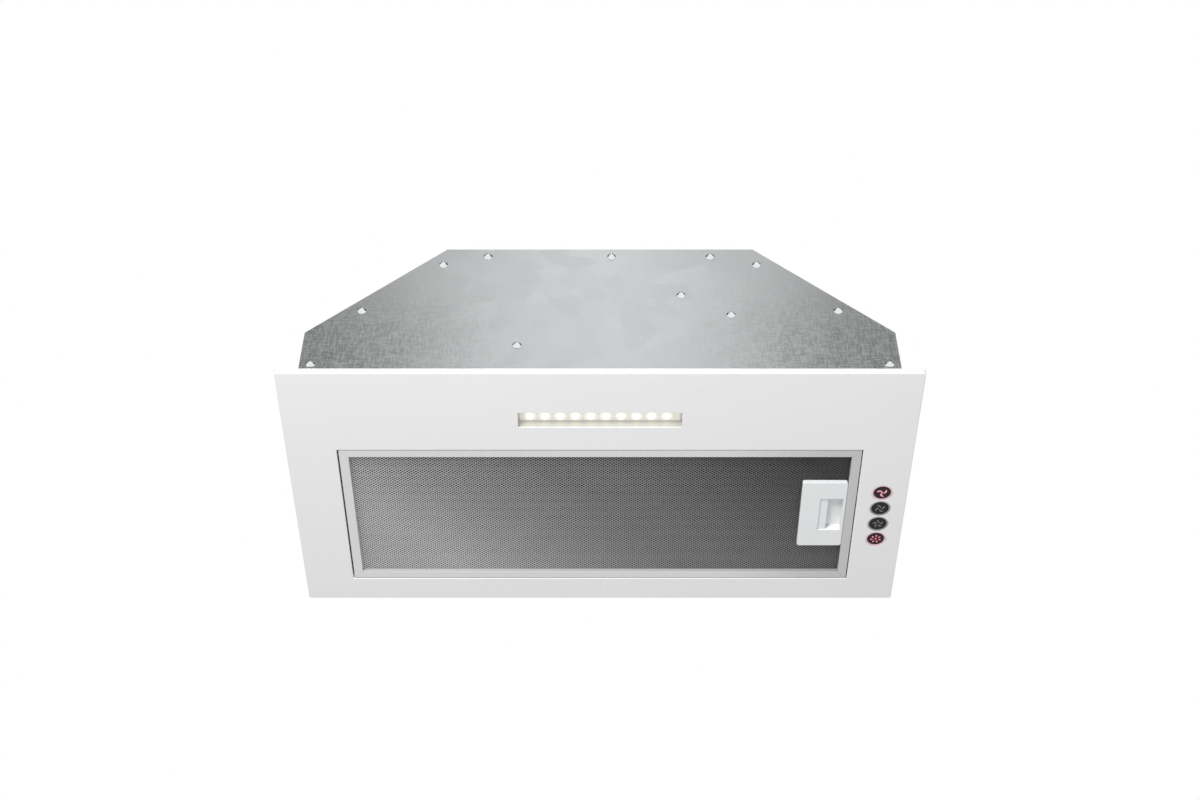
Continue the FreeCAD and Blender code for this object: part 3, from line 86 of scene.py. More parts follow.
class Tree:                                      # the nodes of one material or of the world
    def __init__(self, nodeTree):
        self.nodes = nodeTree.nodes
        self.links = nodeTree.links
        self.nodes.clear()

    def node(self, kind, settings, sockets, output=0):
        made = self.nodes.new(kind)
        for name, setting in settings.items():
            if name == "stops":
                ramp = made.color_ramp
                while len(ramp.elements) < len(setting):
                    ramp.elements.new(0.5)
                for element, (position, colour) in zip(ramp.elements, setting):
                    element.position = position
                    element.color = colour
            else:
                setattr(made, name, setting)
        for name, value in sockets.items():
            if isinstance(value, Value):
                self.links.new(value.socket, made.inputs[name])
            else:
                made.inputs[name].default_value = value
        return Value(self, made.outputs[output]) if made.outputs else None

    def maths(self, operation, left, right):
        return self.node("ShaderNodeMath", {"operation": operation}, {0: left, 1: right})

    def blend(self, factor, first, second):      # between two colours
        return self.node("ShaderNodeMix", {"data_type": "RGBA"}, {0: factor, 6: first, 7: second}, 2)

    def scaled(self, paint, amount):             # a colour made lighter or darker
        paint = paint if isinstance(paint, Value) else paint[:3]
        return self.node("ShaderNodeVectorMath", {"operation": "SCALE"}, {0: paint, "Scale": amount})

    def ramp(self, value, low, high, start=0.0, end=1.0):
        sockets = {"Value": value, "From Min": low, "From Max": high, "To Min": start, "To Max": end}
        return self.node("ShaderNodeMapRange", {"interpolation_type": "SMOOTHSTEP"}, sockets)

    def place(self, stretch=(1, 1, 1)):
        spot = self.node("ShaderNodeTexCoord", {}, {}, "Object")
        return self.node("ShaderNodeMapping", {}, {"Vector": spot, "Scale": stretch})

    def axis(self, name):                        # the X, Y or Z of the object's own coordinates
        spot = self.node("ShaderNodeTexCoord", {}, {}, "Object")
        return self.node("ShaderNodeSeparateXYZ", {}, {0: spot}, name)

    def noise(self, scale, detail=2.0, stretch=(1, 1, 1), roughness=0.5):
        sockets = {"Vector": self.place(stretch), "Scale": scale, "Detail": detail, "Roughness": roughness}
        return self.node("ShaderNodeTexNoise", {}, sockets)

    def cells(self, scale, stretch=(1, 1, 1), feature="F1"):
        sockets = {"Vector": self.place(stretch), "Scale": scale}
        return self.node("ShaderNodeTexVoronoi", {"feature": feature}, sockets)

    def bump(self, height, strength, distance):
        sockets = {"Height": height, "Strength": strength, "Distance": distance}
        return self.node("ShaderNodeBump", {}, sockets)

    def surface(self, sockets):
        shader = self.node("ShaderNodeBsdfPrincipled", {}, sockets)
        self.node("ShaderNodeOutputMaterial", {}, {"Surface": shader})


def newFinish(name):
    material = bpy.data.materials.new(name)
    material.use_nodes = True
    return material, Tree(material.node_tree)


def linear(tone):                                # a display tone, 0 to 255, as the light it stands for
    share = tone / 255
    return share / 12.92 if share < 0.04045 else ((share + 0.055) / 1.055) ** 2.4


def colour(red, green=None, blue=None):
    if green is None:
        green = blue = red
    return (linear(red), linear(green), linear(blue), 1.0)


# Finishes

fineBump = 0.0002                                # how far a fine grain's bump rises


def around(value, spread, middle=1.0):           # a noise of 0 to 1 as a small change about a middle
    return middle + (value - 0.5) * spread


enamel = {
    "light": 235,
    "shade": 233,
    "cloudScale": 5.5,
    "cloudRoughness": 0.55,
    "peelScale": 420,
    "peelTone": 0.02,
    "peelBump": 0.05,
    "roughness": 0.24,
    "roughSpread": 0.06,
    "coat": 0.5,
    "coatRoughness": 0.12,
}


def makeEnamel():
    material, tree = newFinish("whiteEnamel")
    clouds = tree.noise(enamel["cloudScale"], roughness=enamel["cloudRoughness"])
    peel = tree.noise(enamel["peelScale"], 1.0)
    paint = tree.blend(tree.ramp(clouds, 0.22, 0.78), colour(enamel["shade"]), colour(enamel["light"]))
    smoothest = enamel["roughness"]
    tree.surface({
        "Base Color": tree.scaled(paint, around(peel, enamel["peelTone"])),
        "Roughness": tree.ramp(clouds, 0.2, 0.8, smoothest, smoothest + enamel["roughSpread"]),
        "Coat Weight": enamel["coat"],
        "Coat Roughness": enamel["coatRoughness"],
        "Normal": tree.bump(peel, enamel["peelBump"], fineBump),
    })
    return material


galvanised = {
    "light": (205, 207, 208),
    "dark": (199, 201, 202),
    "cloudScale": 9.0,
    "cornerShadeTone": 0.97,
    "cornerX": (0.06, 0.26),                     # the weave and a painted shade grow outwards from the first to the second
    "cornerZ": (0.17, 0.03),                     # and downwards
    "plainDepth": 0.03,
    "weaveDepth": 0.40,
    "weaveScale": 950,
    "weaveStretch": 0.12,
    "weaveBump": 0.05,
    "patchScale": 26,
    "patchLeast": 0.55,
    "patchSpread": 0.9,
    "spangleScale": 45,
    "spangleTone": 0.02,
    "spangleRough": 0.05,
    "roughness": 0.36,
    "cornerRough": 0.04,
}


def makeGalvanised():
    material, tree = newFinish("galvanisedSteel")
    drawn = galvanised["weaveStretch"]
    upright = tree.noise(galvanised["weaveScale"], 2.0, (1, 1, drawn), 0.6)
    level = tree.noise(galvanised["weaveScale"], 2.0, (drawn, drawn, 1), 0.6)
    weave = tree.ramp(upright + level, 0.80, 1.20)
    spangle = tree.cells(galvanised["spangleScale"]).other("Color")
    spangleTone = tree.node("ShaderNodeSeparateXYZ", {}, {0: spangle}, "X")
    side = tree.maths("ABSOLUTE", tree.axis("X"), 0.0)
    # painted shade: the lower outer corners are darkened, and there the weave also shows deeper
    cornerShadeAndWeave = tree.ramp(side, *galvanised["cornerX"]) * tree.ramp(tree.axis("Z"), *galvanised["cornerZ"])
    patches = tree.noise(galvanised["patchScale"])
    patchy = galvanised["patchLeast"] + patches * galvanised["patchSpread"]
    depth = galvanised["plainDepth"] + cornerShadeAndWeave * patchy * galvanised["weaveDepth"]
    paintedCornerShade = 1.0 - cornerShadeAndWeave * (1.0 - galvanised["cornerShadeTone"])
    tone = paintedCornerShade - (1.0 - weave) * depth + (spangleTone - 0.5) * galvanised["spangleTone"]
    cloud = tree.noise(galvanised["cloudScale"])
    base = tree.blend(cloud, colour(*galvanised["dark"]), colour(*galvanised["light"]))
    rough = galvanised["roughness"] + spangleTone * galvanised["spangleRough"]
    tree.surface({
        "Base Color": tree.scaled(base, tone),
        "Metallic": 1.0,
        "Roughness": rough + cornerShadeAndWeave * galvanised["cornerRough"],
        "Normal": tree.bump(weave, galvanised["weaveBump"], fineBump),
    })
    return material


metalWear = {
    "markScale": 60,
    "roughSpread": 0.10,
    "bump": 0.04,
}


def makeMetal(name, tone, roughness, grain, scale, spread):
    material, tree = newFinish(name)
    streaks = tree.noise(scale, 2.0, grain)
    marks = tree.noise(metalWear["markScale"], 3.0)
    shade = 1.0 - spread * 0.5 + (streaks - 0.5) * spread + (marks - 0.5) * spread
    tree.surface({
        "Base Color": tree.scaled(colour(*tone), shade),
        "Metallic": 1.0,
        "Roughness": around(marks, metalWear["roughSpread"], roughness),
        "Normal": tree.bump(streaks, metalWear["bump"], fineBump),
    })
    return material


plasticWear = {
    "markScale": 45,
    "roughSpread": 0.12,
}


def makePlastic(name, tone, roughness, grainScale=1400, grainDepth=0.12, spread=0.06, gloss=0.5):
    material, tree = newFinish(name)
    grain = tree.noise(grainScale)
    marks = tree.noise(plasticWear["markScale"], 3.0)
    tree.surface({
        "Base Color": tree.scaled(colour(*tone), around(marks, spread) + (grain - 0.5) * spread),
        "Roughness": around(marks, plasticWear["roughSpread"], roughness),
        "Specular IOR Level": gloss,
        "Normal": tree.bump(grain, grainDepth, fineBump),
    })
    return material


glowCloud = {
    "scale": 500,
    "lightSpread": 0.16,
    "toneSpread": 0.10,
    "roughness": 0.35,
}


def makeGlow(name, tone, light, strength, gloss):
    material, tree = newFinish(name)
    cloud = tree.noise(glowCloud["scale"])
    tree.surface({
        "Base Color": tree.scaled(colour(*tone), around(cloud, glowCloud["toneSpread"])),
        "Roughness": glowCloud["roughness"],
        "Specular IOR Level": gloss,
        "Emission Color": tree.scaled(colour(*light), around(cloud, glowCloud["lightSpread"])),
        "Emission Strength": strength,
    })
    return material


lensFade = {
    "glass": (250, 246, 226),
    "light": (255, 252, 238),
    "tip": 0.0057,
    "base": 0.0085,
    "low": 0.75,
    "high": 1.7,
    "roughness": 0.3,
}


def makeLens():                                  # brightest at the tip of each lens
    material, tree = newFinish("ledLens")
    dimmest = lensFade["low"] / lensFade["high"]
    share = tree.ramp(tree.axis("Z"), lensFade["tip"], lensFade["base"], 1.0, dimmest)
    tree.surface({
        "Base Color": colour(*lensFade["glass"]),
        "Roughness": lensFade["roughness"],
        "Emission Color": tree.scaled(colour(*lensFade["light"]), share),
        "Emission Strength": lensFade["high"],
    })
    return material


ringFade = {
    "inner": 0.0084,
    "outer": 0.0107,
    "cloudScale": 400,
    "spread": 0.06,
    "roughness": 0.41,
}


def makeRing(name, centre, inside, outside, glow):   # a ring that pales from its inner to its outer edge
    material, tree = newFinish(name)
    sockets = {0: tree.place(), 1: centre}
    across = tree.node("ShaderNodeVectorMath", {"operation": "DISTANCE"}, sockets, "Value")
    pale = tree.ramp(across, ringFade["inner"], ringFade["outer"])
    cloud = tree.noise(ringFade["cloudScale"])
    fade = tree.blend(pale, colour(*inside), colour(*outside))
    paint = tree.scaled(fade, around(cloud, ringFade["spread"]))
    tree.surface({
        "Base Color": paint,
        "Roughness": around(cloud, ringFade["spread"], ringFade["roughness"]),
        "Emission Color": paint,
        "Emission Strength": glow,
    })
    return material


paintedFilterShade = {                                  # painted shade: tones from the left end to the right, darkening to the right
    "left": -0.25,
    "right": 0.25,
    "strand": [(0.0, 0.80), (0.22, 0.56), (0.44, 0.40), (0.56, 0.36), (0.66, 0.30), (0.98, 0.115)],
    "core": [(0.0, 0.90), (0.22, 0.55), (0.44, 0.32), (0.66, 0.16), (0.98, 0.05)],
}


def paintedShadeAcrossFilter(tree, layer, paint):            # painted light and shade: the filter is lighter at its left end and darker at its right, along a slant
    slant = tree.axis("X") - tree.axis("Y")
    share = (slant - paintedFilterShade["left"]) * (1 / (paintedFilterShade["right"] - paintedFilterShade["left"]))
    stops = [(spot, (tone, tone, tone, 1.0)) for spot, tone in paintedFilterShade[layer]]
    tones = tree.node("ShaderNodeValToRGB", {"stops": stops}, {"Fac": share})
    return tree.node("ShaderNodeVectorMath", {"operation": "MULTIPLY"}, {0: tones, 1: paint[:3]})


strand = {
    "tone": 222,
    "grainScale": 1500,
    "grainTone": 0.16,
    "markScale": 30,
    "markTone": 0.12,
    "metallic": 0.75,
    "roughness": 0.48,
    "roughSpread": 0.12,
    "bump": 0.08,
}


def makeStrand():
    material, tree = newFinish("expandedAluminium")
    grain = tree.noise(strand["grainScale"])
    marks = tree.noise(strand["markScale"], 3.0)
    shade = around(grain, strand["grainTone"]) + (marks - 0.5) * strand["markTone"]
    tree.surface({
        "Base Color": tree.scaled(paintedShadeAcrossFilter(tree, "strand", colour(strand["tone"])), shade),
        "Metallic": strand["metallic"],
        "Roughness": around(grain, strand["roughSpread"], strand["roughness"]),
        "Normal": tree.bump(grain, strand["bump"], fineBump),
    })
    return material


foil = {
    "tone": 150,
    "wireScale": 420,
    "wireStretch": (1, 1.4, 1),
    "deepScale": 55,
    "recessShade": 0.07,
    "wireTone": 0.05,
    "deepTone": 0.03,
    "metallic": 0.3,
    "roughness": 0.6,
    "bump": 0.15,
    "bumpRise": 0.0003,
}


def makeCore():
    material, tree = newFinish("foldedFoil")
    wires = tree.cells(foil["wireScale"], foil["wireStretch"], "DISTANCE_TO_EDGE")
    lines = tree.ramp(wires, 0.02, 0.20, 1.0, 0.0)
    deep = tree.noise(foil["deepScale"])
    # painted shade: the foil between the meshes is kept near black, as if in shadow
    shade = foil["recessShade"] + lines * foil["wireTone"] + deep * foil["deepTone"]
    tree.surface({
        "Base Color": tree.scaled(paintedShadeAcrossFilter(tree, "core", colour(foil["tone"])), shade),
        "Metallic": foil["metallic"],
        "Roughness": foil["roughness"],
        "Normal": tree.bump(lines, foil["bump"], foil["bumpRise"]),
    })
    return material


satinBar = {
    "tone": (215, 215, 214),
    "grainScale": 1200,
    "grainTone": 0.05,
    "markScale": 14,
    "markTone": 0.04,
    "paintedShadeFrom": 0.10,
    "paintedShadeTo": 0.245,
    "paintedShadeTone": 0.78,
    "metallic": 0.4,
    "roughness": 0.42,
    "roughSpread": 0.06,
    "bump": 0.03,
}


def makeFrameBar():                              # painted shade: darker towards the filter's right end
    material, tree = newFinish("satinAluminium")
    grain = tree.noise(satinBar["grainScale"], 2.0, (1, 1, 0.1))
    marks = tree.noise(satinBar["markScale"])
    # painted shade towards the right end
    right = tree.ramp(tree.axis("X"), satinBar["paintedShadeFrom"], satinBar["paintedShadeTo"], 1.0, satinBar["paintedShadeTone"])
    shade = right * (around(grain, satinBar["grainTone"]) + (marks - 0.5) * satinBar["markTone"])
    tree.surface({
        "Base Color": tree.scaled(colour(*satinBar["tone"]), shade),
        "Metallic": satinBar["metallic"],
        "Roughness": around(marks, satinBar["roughSpread"], satinBar["roughness"]),
        "Normal": tree.bump(grain, satinBar["bump"], fineBump),
    })
    return material


board = {
    "green": (24, 78, 46),
    "trace": (44, 112, 66),
    "pad": (196, 190, 172),
    "traceScale": 160,
    "padScale": 240,
    "padMetallic": 0.8,
    "roughness": 0.42,
    "padPolish": 0.12,
    "bump": 0.2,
}


def makeBoard():
    material, tree = newFinish("circuitBoard")
    traces = tree.cells(board["traceScale"], (1, 1, 1), "DISTANCE_TO_EDGE")
    copper = tree.ramp(traces, 0.03, 0.05, 1.0, 0.0)
    pads = tree.ramp(tree.cells(board["padScale"]), 0.16, 0.20, 1.0, 0.0)
    green = tree.blend(copper, colour(*board["green"]), colour(*board["trace"]))
    tree.surface({
        "Base Color": tree.blend(pads, green, colour(*board["pad"])),
        "Metallic": pads * board["padMetallic"],
        "Roughness": board["roughness"] - pads * board["padPolish"],
        "Normal": tree.bump(copper, board["bump"], fineBump),
    })
    return material


whiteEnamel = makeEnamel()
galvanisedSteel = makeGalvanised()
chromeRivet = makeMetal("polishedRivet", (236, 237, 239), 0.07, (1, 1, 1), 500, 0.05)
zincScrew = makeMetal("zincPlate", (205, 206, 208), 0.25, (1, 1, 1), 700, 0.08)
blackPlastic = makePlastic("blackPlastic", (30, 30, 32), 0.42)
whitePlastic = makePlastic("whitePlastic", (233, 235, 236), 0.36, 1600, 0.06, 0.03)
expandedAluminium = makeStrand()
foldedFoil = makeCore()
satinAluminium = makeFrameBar()
circuitBoard = makeBoard()
driverWhite = makePlastic("driverCase", (224, 225, 222), 0.40)
buttonBlack = makePlastic("buttonBlack", (16, 17, 16), 0.42, 1300, 0.03, 0.05, 0.22)
buttonMaroon = makeGlow("buttonMaroon", (20, 6, 10), (52, 8, 20), 0.26, 0.22)
iconPink = makeGlow("litPink", (222, 150, 168), (255, 186, 204), 0.34, 0.2)
iconGrey = makePlastic("printGrey", (128, 130, 126), 0.45, 900, 0.03, 0.06, 0.2)
iconCrimson = makeGlow("litCrimson", (80, 6, 26), (140, 8, 44), 0.16, 0.2)
ledCase = makePlastic("ledCase", (238, 236, 222), 0.40)
ledLens = makeLens()
motorMetal = makeMetal("motorCan", (176, 178, 180), 0.32, (0.08, 1, 1), 700, 0.14)
turnedSteel = makeMetal("turnedSteel", (196, 198, 200), 0.22, (0.1, 1, 1), 1200, 0.10)
leadSheath = makePlastic("leadSheath", (206, 206, 202), 0.48)
switchPlastic = makePlastic("switchPlastic", (44, 46, 48), 0.40)
print("finishes made,", len(bpy.data.materials), "materials")


def dress(finish, *names):                       # a CAD node keeps its shape and takes a finish
    for name in names:
        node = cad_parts[name]
        if node.material_slots:
            for slot in node.material_slots:
                slot.material = finish
        else:
            node.data.materials.append(finish)


dress(whiteEnamel, "face_panel")
dress(galvanisedSteel, "front_plate", "rear_plate", "body_wrap", "scroll_wrap", "scroll_side_left",
      "scroll_side_right", "motor_bracket")
dress(zincScrew, "flap_pin")
# filter_tabs take the black plastic so that they read as the shaded gap beside the filter: painted shade
dress(blackPlastic, "outlet_collar", "flap_front", "flap_rear", "impeller", "control_housing",
      "cord_gland", "gland_nut", "terminal_box", "terminal_lid", "filter_tabs")
dress(satinAluminium, "filter_frame_front", "filter_frame_rear", "filter_frame_left",
      "filter_frame_right")
dress(foldedFoil, "filter_core")
dress(whitePlastic, "latch_plate", "latch_slider")
dress(circuitBoard, "power_board", "control_board")
dress(driverWhite, "lamp_driver")
dress(motorMetal, "motor", "capacitor")
dress(turnedSteel, "motor_shaft", "bearing_left", "bearing_right")
dress(leadSheath, "lamp_lead", "motor_lead", "control_lead")
dress(switchPlastic, "key_switches", "terminal_block")


# Modelling helpers

def keep(name, mesh, finish, body, slotName, *nodes, smooth=35):
    shape = bpy.data.meshes.new(name)
    for face in mesh.faces:
        face.smooth = True
    mesh.to_mesh(shape)
    mesh.free()
    shape.materials.append(finish)
    shape.set_sharp_from_angle(angle=math.radians(smooth))
    piece = bpy.data.objects.new(name, shape)
    bpy.context.scene.collection.objects.link(piece)
    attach(piece, body)
    if nodes:
        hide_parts(*nodes)
    return piece


def newest(mesh, known):                         # the vertices that were added to the known ones
    return [vertex for vertex in mesh.verts if vertex not in known]


def facesOf(vertices):
    return list({face for vertex in vertices for face in vertex.link_faces})


def verticesOf(geometry):                        # only the vertices of what an operator returns
    return [item for item in geometry if isinstance(item, bmesh.types.BMVert)]


def everything(mesh):
    return mesh.verts[:] + mesh.edges[:] + mesh.faces[:]


def sidesOf(low, high):                          # the four upright planes round a box, facing out
    return (low, (-1, 0, 0)), (low, (0, -1, 0)), (high, (1, 0, 0)), (high, (0, 1, 0))


def turned(mesh, profile, matrix, steps):        # a profile of (radius, height) spun about its Z axis
    known = set(mesh.verts)
    line = [mesh.verts.new((radius, 0, height)) for radius, height in profile]
    edges = [mesh.edges.new(pair) for pair in zip(line, line[1:])]
    bmesh.ops.spin(
        mesh, geom=line + edges, cent=(0, 0, 0), axis=(0, 0, 1), angle=math.tau, steps=steps,
        use_merge=True, use_duplicate=False,
    )
    fresh = newest(mesh, known)
    bmesh.ops.remove_doubles(mesh, verts=fresh, dist=1e-6)
    fresh = newest(mesh, known)
    bmesh.ops.recalc_face_normals(mesh, faces=facesOf(fresh))
    bmesh.ops.transform(mesh, matrix=matrix, verts=fresh)


def facing(direction, spot):                     # puts +Z of a small part along a direction at a place
    turn = Vector((0, 0, 1)).rotation_difference(Vector(direction)).to_matrix().to_4x4()
    return Matrix.Translation(Vector(spot)) @ turn


def inMillimetres(points):
    return [(first * millimetre, second * millimetre) for first, second in points]


# Rivets

rivet = {
    "dome": [(0, 4.2), (0.8, 4.1), (1.45, 3.75), (1.95, 3.15), (2.45, 2.4), (3.1, 1.75), (3.85, 1.2),
             (4.35, 0.6), (4.5, 0.1), (4.4, 0), (2.0, 0), (2.0, -4.6), (1.6, -5.0), (0, -5.0)],
    "frontY": -147.0,
    "rearY": 141.0,
    "edge": [(-268.2, 21.3), (268.2, 21.3), (-227.9, 98.6), (227.9, 98.6), (-154.2, 169.2),
             (154.2, 169.2), (-110.9, 182.0), (11.4, 182.0), (109.0, 182.0)],
    "field": [(78.3, 121.9), (125.1, 92.6), (-77.8, 48.2)],
    "footDome": [(0, 1.2), (1.2, 1.1), (2.1, 0.8), (2.8, 0.35), (3.0, 0), (1.6, 0), (1.6, -2.4),
                 (1.2, -2.6), (0, -2.6)],
    "footZ": 7.4,
    "foot": [(-210, -141.2), (-70, -141.2), (70, -141.2), (210, -141.2), (-210, 135.2), (-70, 135.2),
             (70, 135.2), (210, 135.2), (-273.2, -110), (-273.2, -45), (-273.2, 108), (273.2, -110),
             (273.2, -45), (273.2, 108)],
}


def makeRivets():
    dome = inMillimetres(rivet["dome"])
    heads = bmesh.new()
    for x, z in rivet["edge"]:
        for y, out in ((rivet["frontY"], -1), (rivet["rearY"], 1)):
            turned(heads, dome, facing((0, out, 0), Vector((x, y, z)) * millimetre), 32)
    keep("rivetHeads", heads, chromeRivet, "hood", "bright_steel", "plate_rivets")
    heads = bmesh.new()
    for x, z in rivet["field"]:
        spot = Vector((x, rivet["frontY"], z)) * millimetre
        turned(heads, dome, facing((0, -1, 0), spot), 32)
    keep("fieldRivetHeads", heads, chromeRivet, "hood", "bright_steel", "field_screws")
    dome = inMillimetres(rivet["footDome"])
    heads = bmesh.new()
    for x, y in rivet["foot"]:
        turned(heads, dome, Matrix.Translation(Vector((x, y, rivet["footZ"])) * millimetre), 24)
    keep("footRivetHeads", heads, zincScrew, "hood", "bright_steel", "foot_rivets")


makeRivets()
print("rivets made")


# Cross-recess screws

screw = {
    "height": 1.8,
    "armHalf": 0.5,
    "armLength": 1.7,
    "recess": 1.2,
    "recessTaper": 0.55,
    "rim": [(2.75, 1.55), (3.25, 1.0), (3.4, 0.4), (3.4, 0.0), (1.5, 0.0)],   # radius and height
    "shank": 1.5,
}


def addScrew(mesh, spot, direction, length):
    known = set(mesh.verts)
    arm = screw["armLength"]
    bmesh.ops.create_grid(mesh, x_segments=3, y_segments=3, size=arm)
    fresh = newest(mesh, known)
    for vertex in fresh:
        for axis in (0, 1):
            if abs(vertex.co[axis]) < arm * 0.9:
                vertex.co[axis] = math.copysign(screw["armHalf"], vertex.co[axis])
        vertex.co.z = screw["height"]
    faces = facesOf(fresh)
    cross = [face for face in faces if min(map(abs, face.calc_center_median().xy)) < 1e-4]
    edge = [edge for face in faces for edge in face.edges if len(edge.link_faces) == 1]
    deep = verticesOf(bmesh.ops.extrude_face_region(mesh, geom=cross)["geom"])
    bmesh.ops.delete(mesh, geom=[face for face in cross if face.is_valid], context="FACES_ONLY")
    for vertex in deep:
        narrow = vertex.co.to_2d() * screw["recessTaper"]
        vertex.co = Vector((narrow.x, narrow.y, screw["height"] - screw["recess"]))
    for radius, height in screw["rim"] + [(screw["shank"], -length)]:
        grown = bmesh.ops.extrude_edge_only(mesh, edges=edge)["geom"]
        edge = [item for item in grown if isinstance(item, bmesh.types.BMEdge)]
        for vertex in {vertex for item in edge for vertex in item.verts}:
            flat = vertex.co.to_2d().normalized() * radius
            vertex.co = Vector((flat.x, flat.y, height))
    bmesh.ops.edgenet_fill(mesh, edges=edge)
    fresh = newest(mesh, known)
    bmesh.ops.recalc_face_normals(mesh, faces=facesOf(fresh))
    bmesh.ops.scale(mesh, vec=(millimetre, millimetre, millimetre), verts=fresh)
    bmesh.ops.transform(mesh, matrix=facing(direction, Vector(spot) * millimetre), verts=fresh)


screwRows = {
    "collar": [(x, y, 196.0) for x in (-57.2, 57.2) for y in (-28.5, 37.5)],
    "scroll": [(x, y, 194.0) for x in (-70.5, 70.5) for y in (-25.5, 34.5)],
    "bracket": [(-65.5, y, z) for y, z in ((-35, 154), (-83.5, 70), (13.5, 70), (-16.8, 108.5),
                                           (-53.2, 108.5), (-35, 77))],
}
screwLengths = {
    "collar": ((0, 0, 1), 7.0),
    "scroll": ((0, 0, 1), 7.0),
    "bracket": ((-1, 0, 0), 5.0),
}


def makeScrews():
    for row, (direction, length) in screwLengths.items():
        heads = bmesh.new()
        for spot in screwRows[row]:
            addScrew(heads, spot, direction, length)
        keep(row + "ScrewHeads", heads, zincScrew, "hood", "bright_steel", row + "_screws")


makeScrews()
print("screws made")


# Expanded aluminium mesh

expanded = {
    "pitchX": 4.21,
    "pitchY": 3.2,
    "strand": 0.50,
    "lift": 0.42,
    "inset": 0.05,
    "startX": 0.8,                               # shares of a pitch that the first cells start outside
    "startY": 0.7,
    "pocketLow": (221.6, 8.3),
    "pocketHigh": (239.2, 55.3),
    "pocketNear": 200.0,
}


def addTwin(mesh, step):                         # a second copy of all there is, moved by a step
    twin = bmesh.ops.duplicate(mesh, geom=everything(mesh))["geom"]
    bmesh.ops.translate(mesh, vec=step, verts=verticesOf(twin))


def makeExpanded(name, node, lift):
    low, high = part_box(node)
    inset = expanded["inset"] * millimetre
    level = low.z + inset if lift > 0 else high.z - inset
    wide = expanded["pitchX"] * millimetre
    deep = expanded["pitchY"] * millimetre
    mesh = bmesh.new()
    bmesh.ops.create_circle(mesh, cap_ends=True, segments=4, radius=1.0)
    bmesh.ops.scale(mesh, vec=(wide / 2, deep / 2, 1), verts=mesh.verts)
    bmesh.ops.inset_individual(
        mesh, faces=mesh.faces[:], thickness=expanded["strand"] * millimetre, depth=0, use_even_offset=True,
    )
    inner = [face for face in mesh.faces if face.calc_center_median().length < 1e-6]
    hole = {vertex for face in inner for vertex in face.verts}
    bmesh.ops.translate(mesh, vec=(0, 0, lift * millimetre), verts=list(hole))
    bmesh.ops.delete(mesh, geom=inner, context="FACES_ONLY")
    addTwin(mesh, (wide / 2, deep / 2, 0))
    columns = math.ceil((high.x - low.x) / wide) + 2
    rows = math.ceil((high.y - low.y) / deep) + 2
    for count, step in ((columns, Vector((wide, 0, 0))), (rows, Vector((0, deep, 0)))):
        made = 1
        while made < count:                      # doubles the run until it is long enough
            addTwin(mesh, step * made)
            made *= 2
        end = step.length * (count + 1)
        along = step.normalized()
        far = [face for face in mesh.faces if face.calc_center_median().dot(along) > end]
        bmesh.ops.delete(mesh, geom=far, context="FACES")
    bmesh.ops.remove_doubles(mesh, verts=mesh.verts, dist=1e-5)
    start = (low.x - wide * expanded["startX"], low.y - deep * expanded["startY"], level)
    bmesh.ops.translate(mesh, vec=start, verts=mesh.verts)
    for spot, normal in sidesOf(low, high):
        bmesh.ops.bisect_plane(
            mesh, geom=everything(mesh), plane_co=spot, plane_no=normal, clear_outer=True, dist=1e-6,
        )
    pocketLow = Vector((*expanded["pocketLow"], 0)) * millimetre
    pocketHigh = Vector((*expanded["pocketHigh"], 0)) * millimetre
    nearest = expanded["pocketNear"] * millimetre
    for spot, normal in sidesOf(pocketLow, pocketHigh):
        near = {face for face in mesh.faces if face.calc_center_median().x > nearest}
        rims = {item for face in near for item in (*face.edges, *face.verts)}
        bmesh.ops.bisect_plane(mesh, geom=list(near | rims), plane_co=spot, plane_no=normal, dist=1e-6)
    inside = []
    for face in mesh.faces:
        middle = face.calc_center_median()
        if pocketLow.x < middle.x < pocketHigh.x and pocketLow.y < middle.y < pocketHigh.y:
            inside.append(face)
    bmesh.ops.delete(mesh, geom=inside, context="FACES")
    print(name, len(mesh.faces), "faces")
    return keep(name, mesh, expandedAluminium, "filter", "mesh_aluminium", node, smooth=25)


makeExpanded("expandedMeshLower", "filter_mesh_lower", expanded["lift"])
makeExpanded("expandedMeshUpper", "filter_mesh_upper", -expanded["lift"])
print("filter mesh made")


# Latch spring


def makeLatchSpring():                           # a smooth copy of the CAD leaf spring
    mesh = bmesh.new()
    mesh.from_mesh(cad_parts["latch_spring"].data)
    bmesh.ops.remove_doubles(mesh, verts=mesh.verts, dist=1e-6)
    leaf = keep("latchSpringLeaf", mesh, turnedSteel, "filter", "turned_steel", "latch_spring")
    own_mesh(leaf)


makeLatchSpring()
print("latch spring made")


# Push buttons

button = {
    "x": 274.6,
    "y": {"speed_low": 1.0, "speed_middle": 22.75, "speed_high": 44.5, "lamp": 66.25},
    "cap": [(0, 0.36), (5.2, 0.34), (7.2, 0.28), (7.85, 0.30), (8.2, 0.62), (8.2, 2.1), (9.3, 2.1),
            (9.3, 2.9), (2.2, 2.9), (2.2, 4.5), (0, 4.5)],
    "ring": [(8.5, 1.8), (8.5, 0.45), (8.8, 0.18), (9.4, 0.15), (10.0, 0.18), (10.4, 0.45), (10.4, 1.0),
             (10.7, 1.0), (10.7, 1.8), (8.5, 1.8)],
    "iconLow": 0.20,
    "iconHigh": 0.40,
    "iconTurn": 0.3,
    "litInside": (214, 170, 180),
    "litOutside": (230, 216, 219),
    "greyInside": (126, 128, 126),
    "greyOutside": (190, 192, 191),
    "ringGlow": 0.06,
}


